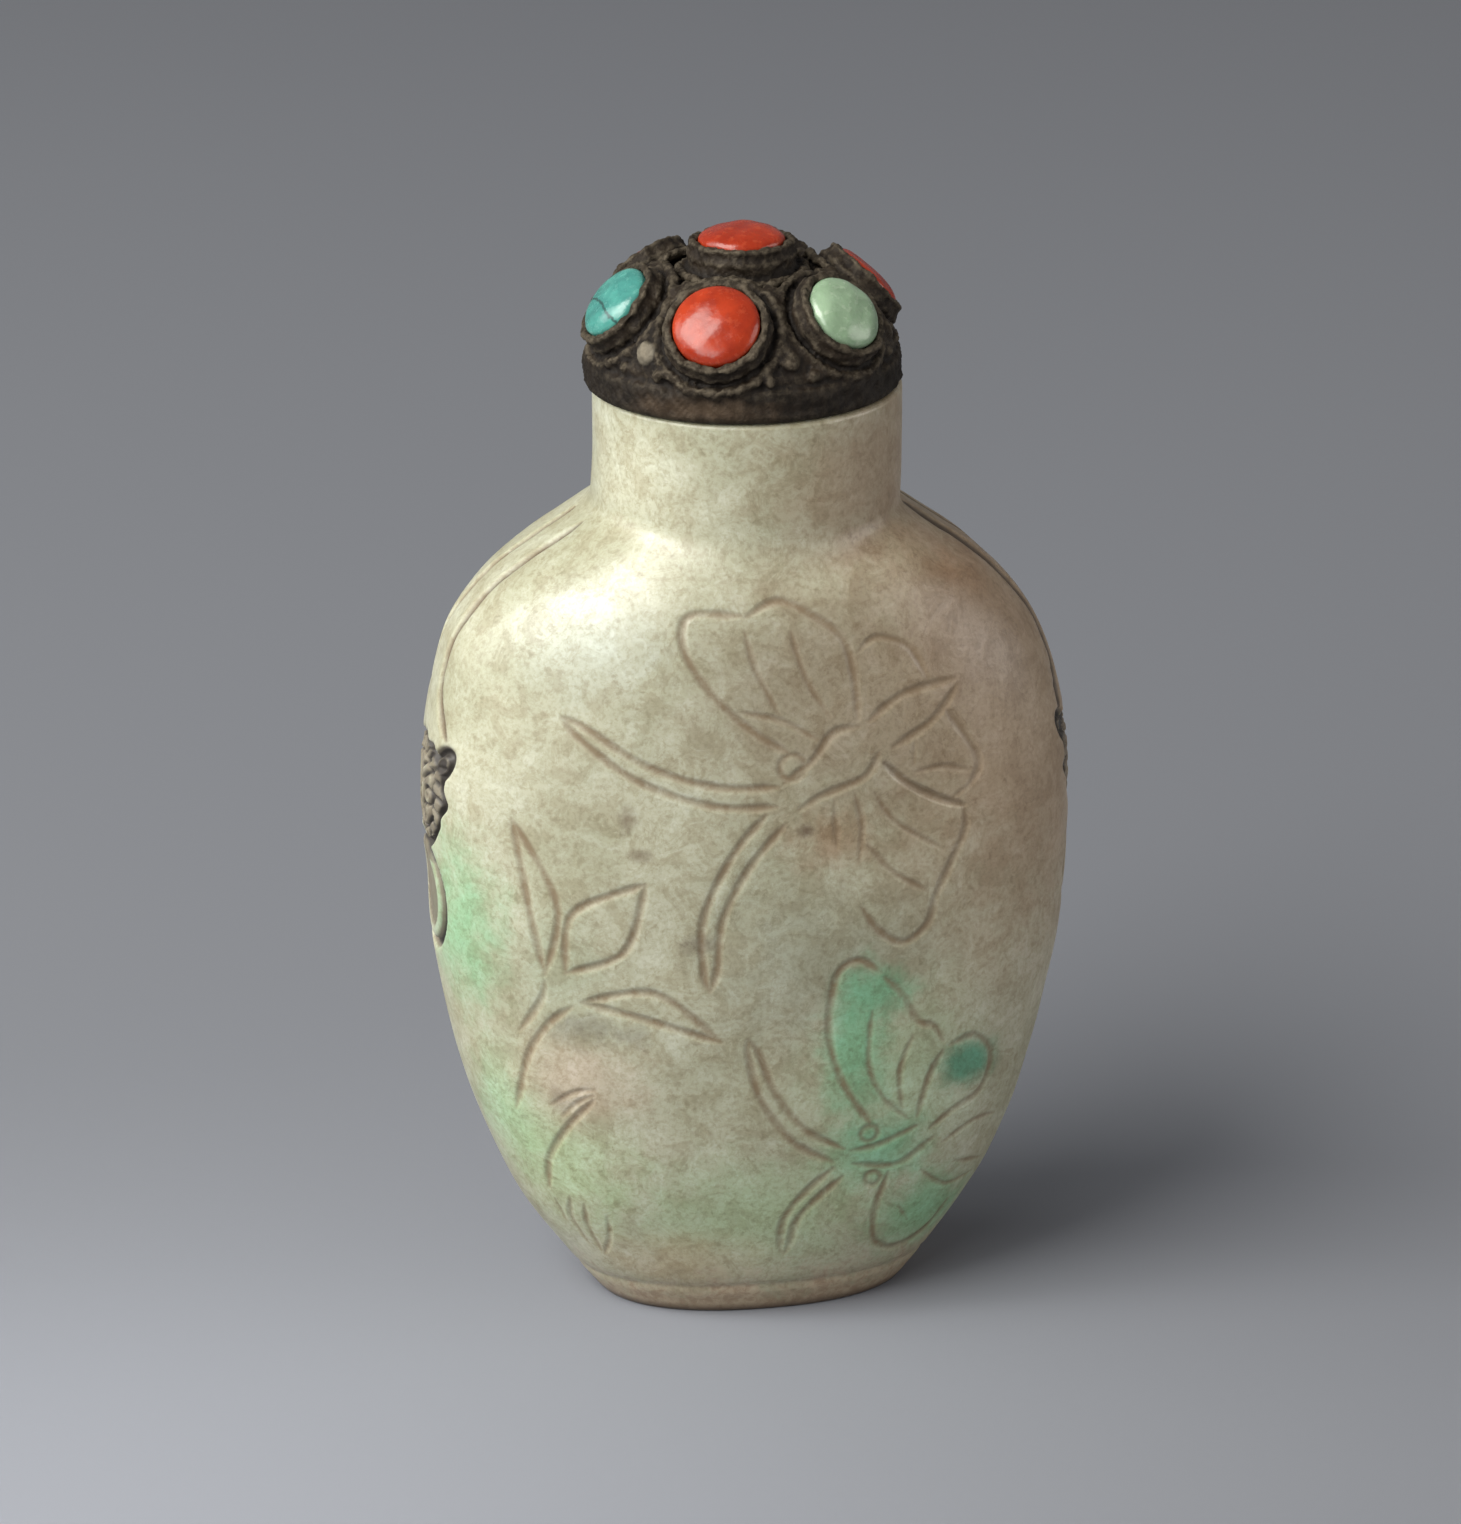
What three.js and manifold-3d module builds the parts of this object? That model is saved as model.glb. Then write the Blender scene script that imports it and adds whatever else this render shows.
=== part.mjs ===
// Snuff bottle of pale jade: a flattened, hollow oval body with a wide round neck, carved on both
// broad faces and on its narrow sides, closed by a domed stopper of dark silver set with seven stones.
// Millimetres. +Z is up, the main carved face looks towards -Y, and the foot stands on z = 0.
import * as THREE from 'three';
import { mergeVertices } from 'three/addons/utils/BufferGeometryUtils.js';
import Module from 'manifold-3d';

const wasm = await Module();
wasm.setup();

// ---- driving dimensions ----
const bodyStations = [
  // height, half width, half depth
  [0, 10.7, 7.3],
  [3, 13.0, 8.7],
  [8, 16.3, 10.3],
  [15, 19.2, 11.7],
  [24, 21.3, 12.6],
  [34, 22.15, 12.95],
  [42, 21.6, 12.8],
  [48, 19.75, 12.3],
  [52, 16.5, 11.6],
  [54.6, 12.8, 10.5],
  [56.9, 9.2, 9.0],
];
const roundness = 2.3;        // exponent of the body's oval section, 2 is a plain ellipse
const neckRadius = 10.35;
const neckShift = 0.3;        // the neck stands this much to the right of the body's middle
const neckBlend = 0.6;        // softness of the root where the neck leaves the shoulders
const neckStart = 44;         // below this height the neck plays no part in the outline
const shoulderSway = -0.5;    // the shoulders were cut a little to the left of the foot
const swayHeight = 51;
const swayReach = 5;
const lipHeight = 64.4;
const lipEdge = 0.4;
const boreRadius = 4.5;
const wall = 3.2;
const cavityFloor = 5.5;
const cavityTop = 51;
const boreFoot = 57;
const footLineHeight = 2.3;
const footLineDepth = 0.3;
const footRimWidth = 1.8;
const footRecess = 0.7;
const bodySides = 36;
const hollowSides = 24;

const strokeWidth = 0.84;
const strokeDepth = 0.38;
const fineWidth = 0.62;
const fineDepth = 0.28;
const reliefWidth = 1.3;
const reliefDepth = 0.75;
const strokeLift = 0.3;       // how far a cutter reaches out of the stone
const strokeStep = 4.2;
const weldGrid = 0.004;

const capRadius = 10.55;
const rimHeight = 2.3;
const domeHeight = 7.4;
const domeFoot = 3.0;           // the wall of the cap turns into the dome here
const domeFullness = 2.27;
const stoneCount = 6;
const firstStoneAngle = -20.5;   // degrees from the front, towards +X
const stoneTilt = 43;            // degrees that a side stone's face is turned up from level
const seatDistance = 7.4;        // from the cap's axis to the middle of a side bezel's base
const seatHeight = 4.95;
const bezelRadius = 3.3;
const bezelLength = 2.05;
const frontBezelRadius = 3.55;
const topBezelRadius = 3.55;
const topBezelFoot = 7.75;
const bezelWall = 0.38;
const bezelSides = 12;
const pocketDepth = 0.9;
const stoneGap = 0.3;
const stoneHeight = 1.5;
const wireRadius = 0.32;
const wireOffset = 0.62;
const wireHeight = 0.35;
const bezelRoot = 1.6;          // how deep a bezel's foot stands in the dome
const granuleRadius = 0.8;
const grainDistance = 9.35;
const grainHeight = 3.9;
const grainTilt = 25;
const leafDistance = 6.2;
const leafHeight = 6.4;
const leafTilt = 55;
const corkRadius = 4.2;
const corkLength = 6.5;

// ---- small helpers ----
const radians = THREE.MathUtils.degToRad;
const vector = (x, y, z) => new THREE.Vector3(x, y, z);

function closedMesh(geometry) {
  const bare = geometry.clone();
  bare.deleteAttribute('normal');
  bare.deleteAttribute('uv');
  return mergeVertices(bare, 1e-5);
}

function toSolid(geometry) {
  const merged = closedMesh(geometry);
  return new wasm.Manifold(new wasm.Mesh({
    numProp: 3,
    vertProperties: new Float32Array(merged.attributes.position.array),
    triVerts: new Uint32Array(merged.index.array),
  }));
}

// A cut solid's geometry. Points closer than the grid are welded, and loose chips between crossing
// strokes fall away.
function toGeometry(solid) {
  const mesh = solid.getMesh();
  const places = Float32Array.from(mesh.vertProperties, (value) => Math.round(value / weldGrid) * weldGrid);
  const geometry = new THREE.BufferGeometry();
  geometry.setAttribute('position', new THREE.BufferAttribute(places, 3));
  geometry.setIndex(new THREE.BufferAttribute(new Uint32Array(mesh.triVerts), 1));
  const pieces = toSolid(geometry).decompose();
  const [whole] = pieces.sort((first, second) => second.volume() - first.volume());
  const kept = whole.getMesh();
  const welded = new THREE.BufferGeometry();
  welded.setAttribute('position', new THREE.BufferAttribute(new Float32Array(kept.vertProperties), 3));
  welded.setIndex(new THREE.BufferAttribute(new Uint32Array(kept.triVerts), 1));
  return welded;
}

// Joins rings of points, each with the same count, into one closed skin. A fan closes each end, or the
// last ring joins the first where the skin runs in a loop.
function loft(rings, loop = false) {
  const count = rings[0].length;
  const middle = (ring) => ring.reduce((sum, point) => sum.add(point), vector(0, 0, 0)).divideScalar(count);
  const points = rings.flat();
  const faces = [];
  const rows = loop ? rings.length : rings.length - 1;
  for (let row = 0; row < rows; row += 1) {
    const above = (row + 1) % rings.length;
    for (let side = 0; side < count; side += 1) {
      const next = (side + 1) % count;
      const [a, b] = [row * count + side, row * count + next];
      const [c, d] = [above * count + next, above * count + side];
      faces.push(a, b, c, a, c, d);
    }
  }
  if (!loop) {
    const last = (rings.length - 1) * count;
    const foot = points.push(middle(rings[0])) - 1;
    const head = points.push(middle(rings[rings.length - 1])) - 1;
    for (let side = 0; side < count; side += 1) {
      const next = (side + 1) % count;
      faces.push(next, side, foot);
      faces.push(last + side, last + next, head);
    }
  }
  const geometry = new THREE.BufferGeometry().setFromPoints(points);
  geometry.setIndex(faces);
  return geometry;
}

// ---- the body's outer form ----
const stationCurve = new THREE.CatmullRomCurve3(
  bodyStations.map(([height, width, depth]) => vector(width, depth, height)), false, 'centripetal');
const stationTable = stationCurve.getPoints(160);

// Half width and half depth of the body's oval at a height.
function ovalAt(height) {
  const last = stationTable.length - 1;
  let row = stationTable.findIndex((station) => station.z > height);
  row = row < 0 ? last : Math.max(row, 1);
  const low = stationTable[row - 1];
  const high = stationTable[row];
  const share = THREE.MathUtils.clamp((height - low.z) / (high.z - low.z), 0, 1);
  return [
    THREE.MathUtils.lerp(low.x, high.x, share),
    THREE.MathUtils.lerp(low.y, high.y, share),
  ];
}

function ovalReach(angle, width, depth) {
  const across = Math.abs(Math.cos(angle) / width) ** roundness;
  const along = Math.abs(Math.sin(angle) / depth) ** roundness;
  return (across + along) ** (-1 / roundness);
}

// How far the neck's circle, shifted to the right, reaches from the body's axis.
function neckReach(angle) {
  const shift = neckShift * Math.cos(angle);
  const side = neckShift * Math.sin(angle);
  return shift + Math.sqrt(neckRadius ** 2 - side ** 2);
}

function softLarger(first, second, blend) {
  const share = THREE.MathUtils.clamp(0.5 + (first - second) / (2 * blend), 0, 1);
  return second + (first - second) * share + blend * share * (1 - share);
}

function outerReach(angle, height) {
  const [width, depth] = ovalAt(height);
  const body = ovalReach(angle, width, depth);
  if (height < neckStart) return body;
  if (height >= bodyStations[bodyStations.length - 1][0]) return neckReach(angle);
  return softLarger(body, neckReach(angle), neckBlend);
}

function sway(height) {
  return shoulderSway * Math.exp(-(((height - swayHeight) / swayReach) ** 2));
}

function ringOf(reach, height, sides = bodySides) {
  const ring = [];
  for (let side = 0; side < sides; side += 1) {
    const angle = (2 * Math.PI * side) / sides;
    const distance = reach(angle);
    ring.push(vector(distance * Math.cos(angle) + sway(height), distance * Math.sin(angle), height));
  }
  return ring;
}

function footRings() {
  const [width, depth] = [bodyStations[0][1], bodyStations[0][2]];
  const inside = footRimWidth + footRecess;
  return [
    ringOf((angle) => ovalReach(angle, width - inside, depth - inside), footRecess),
    ringOf((angle) => ovalReach(angle, width - footRimWidth, depth - footRimWidth), 0),
  ];
}

function outerRings() {
  const heights = [0, footLineHeight - 0.4, footLineHeight, footLineHeight + 0.4];
  const shoulderHeights = [48, 50.4, 52.4, 53.8, 55, 56, 56.9];
  for (let height = 5.5; height < 46; height += 5.6) heights.push(height);
  const rings = [...heights, ...shoulderHeights].map((height) => {
    const cut = height === footLineHeight ? footLineDepth : 0;
    return ringOf((angle) => outerReach(angle, height) - cut, height);
  });
  rings.push(ringOf(neckReach, lipHeight - lipEdge));
  rings.push(ringOf((angle) => neckReach(angle) - lipEdge, lipHeight));
  return rings;
}

// The hollow: an oval chamber that closes in under the shoulders to a bored neck.
function hollowRings() {
  const ringAt = (reach, height) => ringOf(reach, height, hollowSides);
  const chamber = (height, share) => {
    const [width, depth] = ovalAt(height);
    return ringAt((angle) => ovalReach(angle, (width - wall) * share, (depth - wall) * share), height);
  };
  const bore = (angle) => neckReach(angle) - neckRadius + boreRadius;
  return [
    chamber(cavityFloor, 0.6), chamber(cavityFloor + 1.5, 0.9),
    ...[11, 17, 25, 34, 42, 48].map((height) => chamber(height, 1)),
    chamber(cavityTop, 0.9), chamber(cavityTop + 2.5, 0.72),
    ringAt(bore, boreFoot), ringAt(bore, lipHeight + 1),
  ];
}

// ---- places on the stone's surface ----
function surfaceNormal(point) {
  const [width, depth] = ovalAt(point.z);
  const slopeStep = 0.2;
  const [upperWidth, upperDepth] = ovalAt(point.z + slopeStep);
  const [lowerWidth, lowerDepth] = ovalAt(point.z - slopeStep);
  const offCentre = point.x - sway(point.z);
  const across = Math.abs(offCentre / width) ** (roundness - 1) / width;
  const along = Math.abs(point.y / depth) ** (roundness - 1) / depth;
  const widthSlope = (upperWidth - lowerWidth) / (2 * slopeStep);
  const depthSlope = (upperDepth - lowerDepth) / (2 * slopeStep);
  const rise = -across * Math.abs(offCentre / width) * widthSlope
    - along * Math.abs(point.y / depth) * depthSlope;
  return vector(Math.sign(offCentre) * across, Math.sign(point.y) * along, rise).normalize();
}

// A point of the broad face at x across and z up. facing is -1 for the front and 1 for the back.
const onFace = (facing) => (x, z) => {
  const [width, depth] = ovalAt(z);
  const share = Math.min(Math.abs(x - sway(z)) / width, 0.995);
  return vector(x, facing * depth * (1 - share ** roundness) ** (1 / roundness), z);
};

// A point of a narrow side, at y across and z up. side is -1 for the left and 1 for the right.
const onSide = (side) => (y, z) => {
  const [width, depth] = ovalAt(z);
  const share = Math.min(Math.abs(y) / depth, 0.995);
  return vector(side * width * (1 - share ** roundness) ** (1 / roundness) + sway(z), y, z);
};

const flatCurve = (points) => new THREE.SplineCurve(
  points.map(([across, up]) => new THREE.Vector2(across, up)));

// A wedge that follows a drawn line over the surface. It cuts a stroke that thins out at its ends.
function strokeCutter(stroke, place) {
  const flat = flatCurve(stroke.points);
  const steps = Math.max(2, Math.round(flat.getLength() / strokeStep));
  const drawn = stroke.loop ? flat.points : flat.getSpacedPoints(steps);
  const path = drawn.map((point) => place(point.x, point.y));
  const at = (index) => {
    if (stroke.loop) return path[(index + path.length) % path.length];
    return path[THREE.MathUtils.clamp(index, 0, path.length - 1)];
  };
  const rings = path.map((point, index) => {
    const normal = surfaceNormal(point);
    const ahead = at(index + 1).clone().sub(at(index - 1)).normalize();
    const sideways = ahead.clone().cross(normal).normalize();
    const atEnd = !stroke.loop && (index === 0 || index === path.length - 1);
    const strength = atEnd ? 0.3 : 1;
    const halfWidth = (stroke.width / 2) * strength * (1 + strokeLift / stroke.depth);
    const lifted = point.clone().addScaledVector(normal, strokeLift);
    return [
      lifted.clone().addScaledVector(sideways, halfWidth),
      point.clone().addScaledVector(normal, -stroke.depth * strength),
      lifted.clone().addScaledVector(sideways, -halfWidth),
    ];
  });
  return toSolid(loft(rings, stroke.loop));
}

// ---- drawing the carved lines, in millimetres across and up a face ----
const bold = (...points) => ({ points, width: strokeWidth, depth: strokeDepth });
const fine = (...points) => ({ points, width: fineWidth, depth: fineDepth });

// A point beside the straight line from one point to another, at a share of its length.
function beside([fromX, fromZ], [toX, toZ], share, offset) {
  const length = Math.hypot(toX - fromX, toZ - fromZ);
  return [
    fromX + (toX - fromX) * share - ((toZ - fromZ) / length) * offset,
    fromZ + (toZ - fromZ) * share + ((toX - fromX) / length) * offset,
  ];
}

// Two bowed lines from a leaf's foot to its tip.
function leaf(foot, tip, leftBulge, rightBulge) {
  return [
    bold(foot, beside(foot, tip, 0.45, leftBulge), tip),
    bold(foot, beside(foot, tip, 0.45, -rightBulge), tip),
  ];
}

// A butterfly's feeler: a long bowed blade, drawn as two lines that meet at its tip.
function feeler(root, bend, tip, breadth) {
  const middle = flatCurve([root, bend, tip]);
  const edge = (side) => bold(...[0, 0.3, 0.6, 0.85, 1].map((share) => {
    const point = middle.getPoint(share);
    const ahead = middle.getTangent(share);
    const offset = side * (breadth / 2) * Math.sqrt(1 - share ** 3);
    return [point.x - ahead.y * offset, point.y + ahead.x * offset];
  }));
  return [edge(1), edge(-1)];
}

function ringStroke([across, up], radius, sides) {
  const points = Array.from({ length: sides }, (_, corner) => {
    const angle = (2 * Math.PI * corner) / sides;
    return [across + radius * Math.cos(angle), up + radius * Math.sin(angle)];
  });
  return { ...fine(...points), loop: true };
}

// The wings' edges come first, then the veins, the body, the eye and the two feelers.
function largeButterfly() {
  return [
    bold([0.9, 42.5], [-1.6, 44.2], [-4.3, 46.9], [-6.0, 49.9], [-5.5, 52.0], [-2.1, 51.9]),
    bold([-1.9, 51.8], [0.4, 52.7], [2.8, 51.5], [4.6, 49.9], [5.3, 47.4], [5.5, 44.5]),
    fine([5.6, 49.0], [6.9, 49.8], [9.1, 48.9], [10.4, 46.6]),
    bold([11.5, 44.6], [13.1, 42.2], [14.0, 40.2], [13.1, 38.6]),
    bold([7.3, 41.3], [8.8, 39.8], [11.0, 38.4], [12.9, 37.5]),
    bold([12.9, 37.2], [13.0, 35.9], [12.1, 33.9], [10.9, 31.4], [10.3, 29.5], [8.6, 28.4], [6.8, 29.6],
      [5.7, 31.3]),
    fine([-2.0, 51.0], [-1.3, 48.3], [0.2, 45.2]),
    fine([1.1, 50.7], [2.0, 47.6], [3.6, 44.8]),
    fine([6.6, 39.3], [8.1, 37.1], [11.4, 34.7]),
    bold([0.4, 40.5], [2.4, 42.0], [3.8, 43.7], [5.6, 44.0]),
    bold([6.9, 42.1], [5.9, 40.5], [3.0, 39.5], [1.4, 38.6]),
    bold([6.2, 44.3], [8.8, 45.9], [12.3, 46.3]),
    bold([12.4, 45.8], [10.6, 43.8], [7.8, 42.3]),
    ringStroke([0.9, 41.5], 0.8, 6),
    ...feeler([0.0, 39.6], [-7.0, 40.5], [-14.0, 45.2], 1.35),
    ...feeler([-0.2, 38.0], [-4.0, 32.6], [-4.6, 25.9], 1.45),
  ];
}

function smallButterfly() {
  return [
    bold([6.6, 14.9], [4.4, 18.7], [3.5, 22.6], [4.0, 26.5], [5.5, 27.5], [7.0, 26.4]),
    bold([7.3, 26.0], [8.6, 24.6], [9.8, 22.4], [10.9, 21.8], [11.6, 20.6]),
    bold([11.6, 19.8], [10.6, 17.8], [9.9, 15.0]),
    bold([12.1, 20.1], [14.0, 20.3], [15.4, 18.5], [14.6, 15.8], [12.4, 14.8], [10.9, 13.8]),
    fine([6.5, 23.6], [6.3, 19.8], [7.4, 16.9], [9.3, 14.9]),
    bold([5.3, 13.0], [7.2, 13.2], [9.9, 14.2]),
    bold([5.4, 11.9], [8.6, 11.4], [11.2, 13.0]),
    bold([8.0, 10.8], [7.2, 8.0], [7.5, 5.3], [9.8, 4.4]),
    ...feeler([4.4, 12.7], [0.3, 16.0], [-2.0, 22.3], 1.2),
    ...feeler([4.4, 11.4], [1.4, 8.4], [0.8, 4.9], 1.05),
  ];
}

function leafSpray() {
  return [
    ...leaf([-15.3, 26.9], [-17.2, 37.9], 0.1, 1.7),
    ...leaf([-14.0, 27.2], [-8.8, 33.8], 2.3, 1.9),
    ...leaf([-13.0, 25.1], [-3.8, 22.2], 2.2, -0.2),
    bold([-15.3, 26.4], [-15.6, 24.9], [-16.9, 22.4]),
    bold([-13.6, 24.7], [-15.2, 23.1], [-16.4, 20.4], [-17.0, 16.2]),
  ];
}

// The back face is plainer: one butterfly over a leafy spray.
function moved(strokes, across, up, turn) {
  const pivot = new THREE.Vector2(0, 40);
  return strokes.map((stroke) => ({
    ...stroke,
    points: stroke.points.map(([x, z]) => {
      const point = new THREE.Vector2(x, z).rotateAround(pivot, radians(turn));
      return [point.x + across, point.y + up];
    }),
  }));
}

function carvedFaces() {
  const front = [...largeButterfly(), ...smallButterfly(), ...leafSpray()];
  const backWings = largeButterfly().filter((_, index) => [0, 1, 4, 5].includes(index));
  const back = [...moved(backWings, 0.5, -3.5, 12), ...leafSpray()];
  return [
    ...front.map((stroke) => strokeCutter(stroke, onFace(-1))),
    ...back.map((stroke) => strokeCutter(stroke, onFace(1))),
  ];
}

// ---- the narrow sides: a lion's mask that holds a ring, under two lines from the shoulders ----
const maskTop = 40.7;
const maskHeight = 7.4;
const maskHalfWidth = 4.3;
const ringRadius = 3.7;
const ringBand = 1.35;
const ringCentreHeight = 29.6;
const sideLineOffset = 1.7;

function sideRelief() {
  const deep = (...points) => ({ points, width: reliefWidth, depth: reliefDepth });
  const onMask = (across, down) => [across * maskHalfWidth, maskTop - down * maskHeight];
  const cheek = (side) => deep(...[[0, 0.1], [0.5, 0], [0.95, 0.14], [1, 0.42], [0.72, 0.74], [0.42, 1]]
    .map(([across, down]) => onMask(side * across, down)));
  const shoulderLine = (side) => bold(
    [side * sideLineOffset, 55.6], [side * sideLineOffset, 50], [side * (sideLineOffset + 0.3), 45],
    [side * maskHalfWidth, maskTop + 1.2]);
  const halves = [-1, 1].flatMap((side) => [
    cheek(side), shoulderLine(side), ringStroke(onMask(side * 0.42, 0.4), 0.65, 6),
  ]);
  const hoop = (radius, share) => ({
    ...ringStroke([0, ringCentreHeight], radius, 10), width: reliefWidth * share, depth: reliefDepth * share,
  });
  return [...halves, hoop(ringRadius + 0.4, 1), hoop(ringRadius - ringBand, 0.8)];
}

function bottle() {
  let stone = toSolid(loft([...footRings(), ...outerRings()])).subtract(toSolid(loft(hollowRings())));
  const sides = [-1, 1].flatMap((side) => sideRelief().map((stroke) => strokeCutter(stroke, onSide(side))));
  for (const cutter of [...carvedFaces(), ...sides]) stone = stone.subtract(cutter);
  return toGeometry(stone);
}

// ---- the stopper ----
// A frame whose Z runs out through the middle of a stone's face.
function seatMatrix(angle, tilt, distance, height) {
  const turn = radians(angle);
  const outward = vector(Math.sin(turn), -Math.cos(turn), 0);
  const normal = outward.clone().multiplyScalar(Math.cos(tilt)).add(vector(0, 0, Math.sin(tilt)));
  const matrix = new THREE.Matrix4().makeRotationFromQuaternion(
    new THREE.Quaternion().setFromUnitVectors(vector(0, 0, 1), normal));
  return matrix.setPosition(outward.multiplyScalar(distance).add(vector(0, 0, lipHeight + height)));
}

const stoneSpacing = 360 / stoneCount;
const seats = Array.from({ length: stoneCount }, (_, index) => ({
  matrix: seatMatrix(firstStoneAngle + index * stoneSpacing, radians(stoneTilt), seatDistance, seatHeight),
  radius: index === 0 ? frontBezelRadius : bezelRadius,
  length: bezelLength,
}));
const topSeat = {
  matrix: seatMatrix(0, Math.PI / 2, 0, topBezelFoot),
  radius: topBezelRadius,
  length: bezelLength,
};

function lathe(profile, segments) {
  const points = profile.map(([radius, height]) => new THREE.Vector2(radius, height));
  return new THREE.LatheGeometry(points, segments).rotateX(Math.PI / 2);
}

function capBody() {
  const wallRadius = capRadius - 0.45;
  const profile = [
    [0, 0], [capRadius - 0.3, 0], [capRadius, 0.3], [capRadius, rimHeight - 0.3],
    [capRadius - 0.3, rimHeight], [wallRadius, rimHeight + 0.1],
  ];
  for (const share of [1, 0.9, 0.76, 0.6, 0.4, 0.2]) {
    profile.push([wallRadius * share, domeFoot + (domeHeight - domeFoot) * (1 - share ** domeFullness)]);
  }
  profile.push([0, domeHeight]);
  return lathe(profile, 2 * bezelSides).translate(0, 0, lipHeight);
}

function bezelSolid(seat) {
  const inner = seat.radius - bezelWall;
  const cup = lathe([
    [0, -bezelRoot], [seat.radius, -bezelRoot], [seat.radius, seat.length], [inner, seat.length],
    [inner, seat.length - pocketDepth], [0, seat.length - pocketDepth],
  ], bezelSides);
  return toSolid(cup.applyMatrix4(seat.matrix));
}

// The room inside a bezel's lip, kept clear of the dome and of the wires.
function bezelRoom(seat) {
  const inner = seat.radius - bezelWall;
  const floor = seat.length - pocketDepth;
  const ceiling = seat.length + 2.5;
  const room = lathe([[0, floor], [inner, floor], [inner, ceiling], [0, ceiling]], bezelSides);
  return toSolid(room.applyMatrix4(seat.matrix));
}

function wireSolid(seat) {
  const hoop = new THREE.TorusGeometry(seat.radius + wireOffset, wireRadius, 3, bezelSides);
  return toSolid(hoop.translate(0, 0, wireHeight).applyMatrix4(seat.matrix));
}

// A round grain low between each pair of bezels, and a small leaf above it beside the top bezel.
function grainAndLeaf(index) {
  const angle = firstStoneAngle + (index + 0.5) * stoneSpacing;
  const grain = new THREE.OctahedronGeometry(granuleRadius, 1);
  grain.applyMatrix4(seatMatrix(angle, radians(grainTilt), grainDistance, grainHeight));
  const sliver = new THREE.OctahedronGeometry(1, 0).scale(0.6, 1.6, 0.6);
  sliver.applyMatrix4(seatMatrix(angle, radians(leafTilt), leafDistance, leafHeight));
  return [toSolid(grain), toSolid(sliver)];
}

function stopperCap() {
  const allSeats = [...seats, topSeat];
  let silver = toSolid(capBody());
  for (const seat of allSeats) silver = silver.add(bezelSolid(seat)).add(wireSolid(seat));
  for (let index = 0; index < stoneCount; index += 1) {
    for (const trim of grainAndLeaf(index)) silver = silver.add(trim);
  }
  for (const seat of allSeats) silver = silver.subtract(bezelRoom(seat));
  return toGeometry(silver);
}

function cabochon(seat) {
  const radius = seat.radius - bezelWall - stoneGap;
  const floor = seat.length - pocketDepth + stoneGap;
  const girdle = floor + 0.45;
  const profile = [[0, floor], [radius, floor], [radius, girdle]];
  for (const share of [0.4, 0.75]) {
    const rise = (stoneHeight - 0.45) * Math.sin((share * Math.PI) / 2);
    profile.push([radius * Math.cos((share * Math.PI) / 2), girdle + rise]);
  }
  profile.push([0, floor + stoneHeight]);
  return lathe(profile, bezelSides);
}

const cork = () => lathe([
  [0, 0], [corkRadius - 0.4, 0], [corkRadius, 0.4], [corkRadius, corkLength], [0, corkLength],
], bezelSides);

// ---- the object ----
const jade = new THREE.MeshStandardMaterial({ color: 0xa9a88f, roughness: 0.35, metalness: 0 });
const silver = new THREE.MeshStandardMaterial({ color: 0x37302a, roughness: 0.45, metalness: 0.9 });
const coral = new THREE.MeshStandardMaterial({ color: 0xc8432a, roughness: 0.3, metalness: 0 });
const turquoise = new THREE.MeshStandardMaterial({ color: 0x45b8a8, roughness: 0.4, metalness: 0 });
const greenJade = new THREE.MeshStandardMaterial({ color: 0x8cb48c, roughness: 0.3, metalness: 0 });
const corkBark = new THREE.MeshStandardMaterial({ color: 0x9a6f47, roughness: 0.9, metalness: 0 });

function named(name, geometry, material) {
  const mesh = new THREE.Mesh(geometry, material);
  mesh.name = name;
  return mesh;
}

function setStone(name, seat, material) {
  const mesh = named(name, cabochon(seat), material);
  seat.matrix.decompose(mesh.position, mesh.quaternion, mesh.scale);
  return mesh;
}

const object = new THREE.Group();
object.add(named('bottle', bottle(), jade));
object.add(named('stopper_cap', stopperCap(), silver));
const ring = [
  ['cabochon_front', coral],
  ['cabochon_right', greenJade],
  ['cabochon_back_right', coral],
  ['cabochon_back', turquoise],
  ['cabochon_back_left', coral],
  ['cabochon_left', turquoise],
];
ring.forEach(([name, material], index) => object.add(setStone(name, seats[index], material)));
object.add(setStone('cabochon_top', topSeat, coral));
const plug = named('cork', cork(), corkBark);
plug.position.set(neckShift, 0, lipHeight - corkLength);
object.add(plug);

export default object;
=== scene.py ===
import math

import bpy
import numpy as np
from mathutils import Matrix, Vector, kdtree


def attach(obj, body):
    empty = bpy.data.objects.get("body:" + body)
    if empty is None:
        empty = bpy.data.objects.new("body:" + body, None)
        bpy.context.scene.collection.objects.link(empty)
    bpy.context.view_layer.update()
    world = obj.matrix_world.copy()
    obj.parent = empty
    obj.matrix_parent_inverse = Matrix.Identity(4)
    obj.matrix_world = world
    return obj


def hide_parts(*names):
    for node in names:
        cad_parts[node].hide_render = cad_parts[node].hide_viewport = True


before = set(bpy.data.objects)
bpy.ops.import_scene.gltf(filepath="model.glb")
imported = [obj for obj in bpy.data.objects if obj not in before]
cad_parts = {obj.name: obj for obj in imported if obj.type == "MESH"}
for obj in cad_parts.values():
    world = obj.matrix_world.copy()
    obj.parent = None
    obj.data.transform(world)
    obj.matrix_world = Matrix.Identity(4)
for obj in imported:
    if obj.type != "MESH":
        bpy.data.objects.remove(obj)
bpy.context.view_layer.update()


# ======================================================================== bottle
# One pebble of pale mottled jadeite, ground to a flattened oval, hollowed through its neck and polished.
# The broad faces are cut with butterflies and leaves, and each narrow side has a sunk lion's mask that
# holds a ring. Brown wax and snuff lie in the cut lines, and the masks are coloured darker where they are
# sunk deeper. All sizes below are millimetres.

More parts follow.
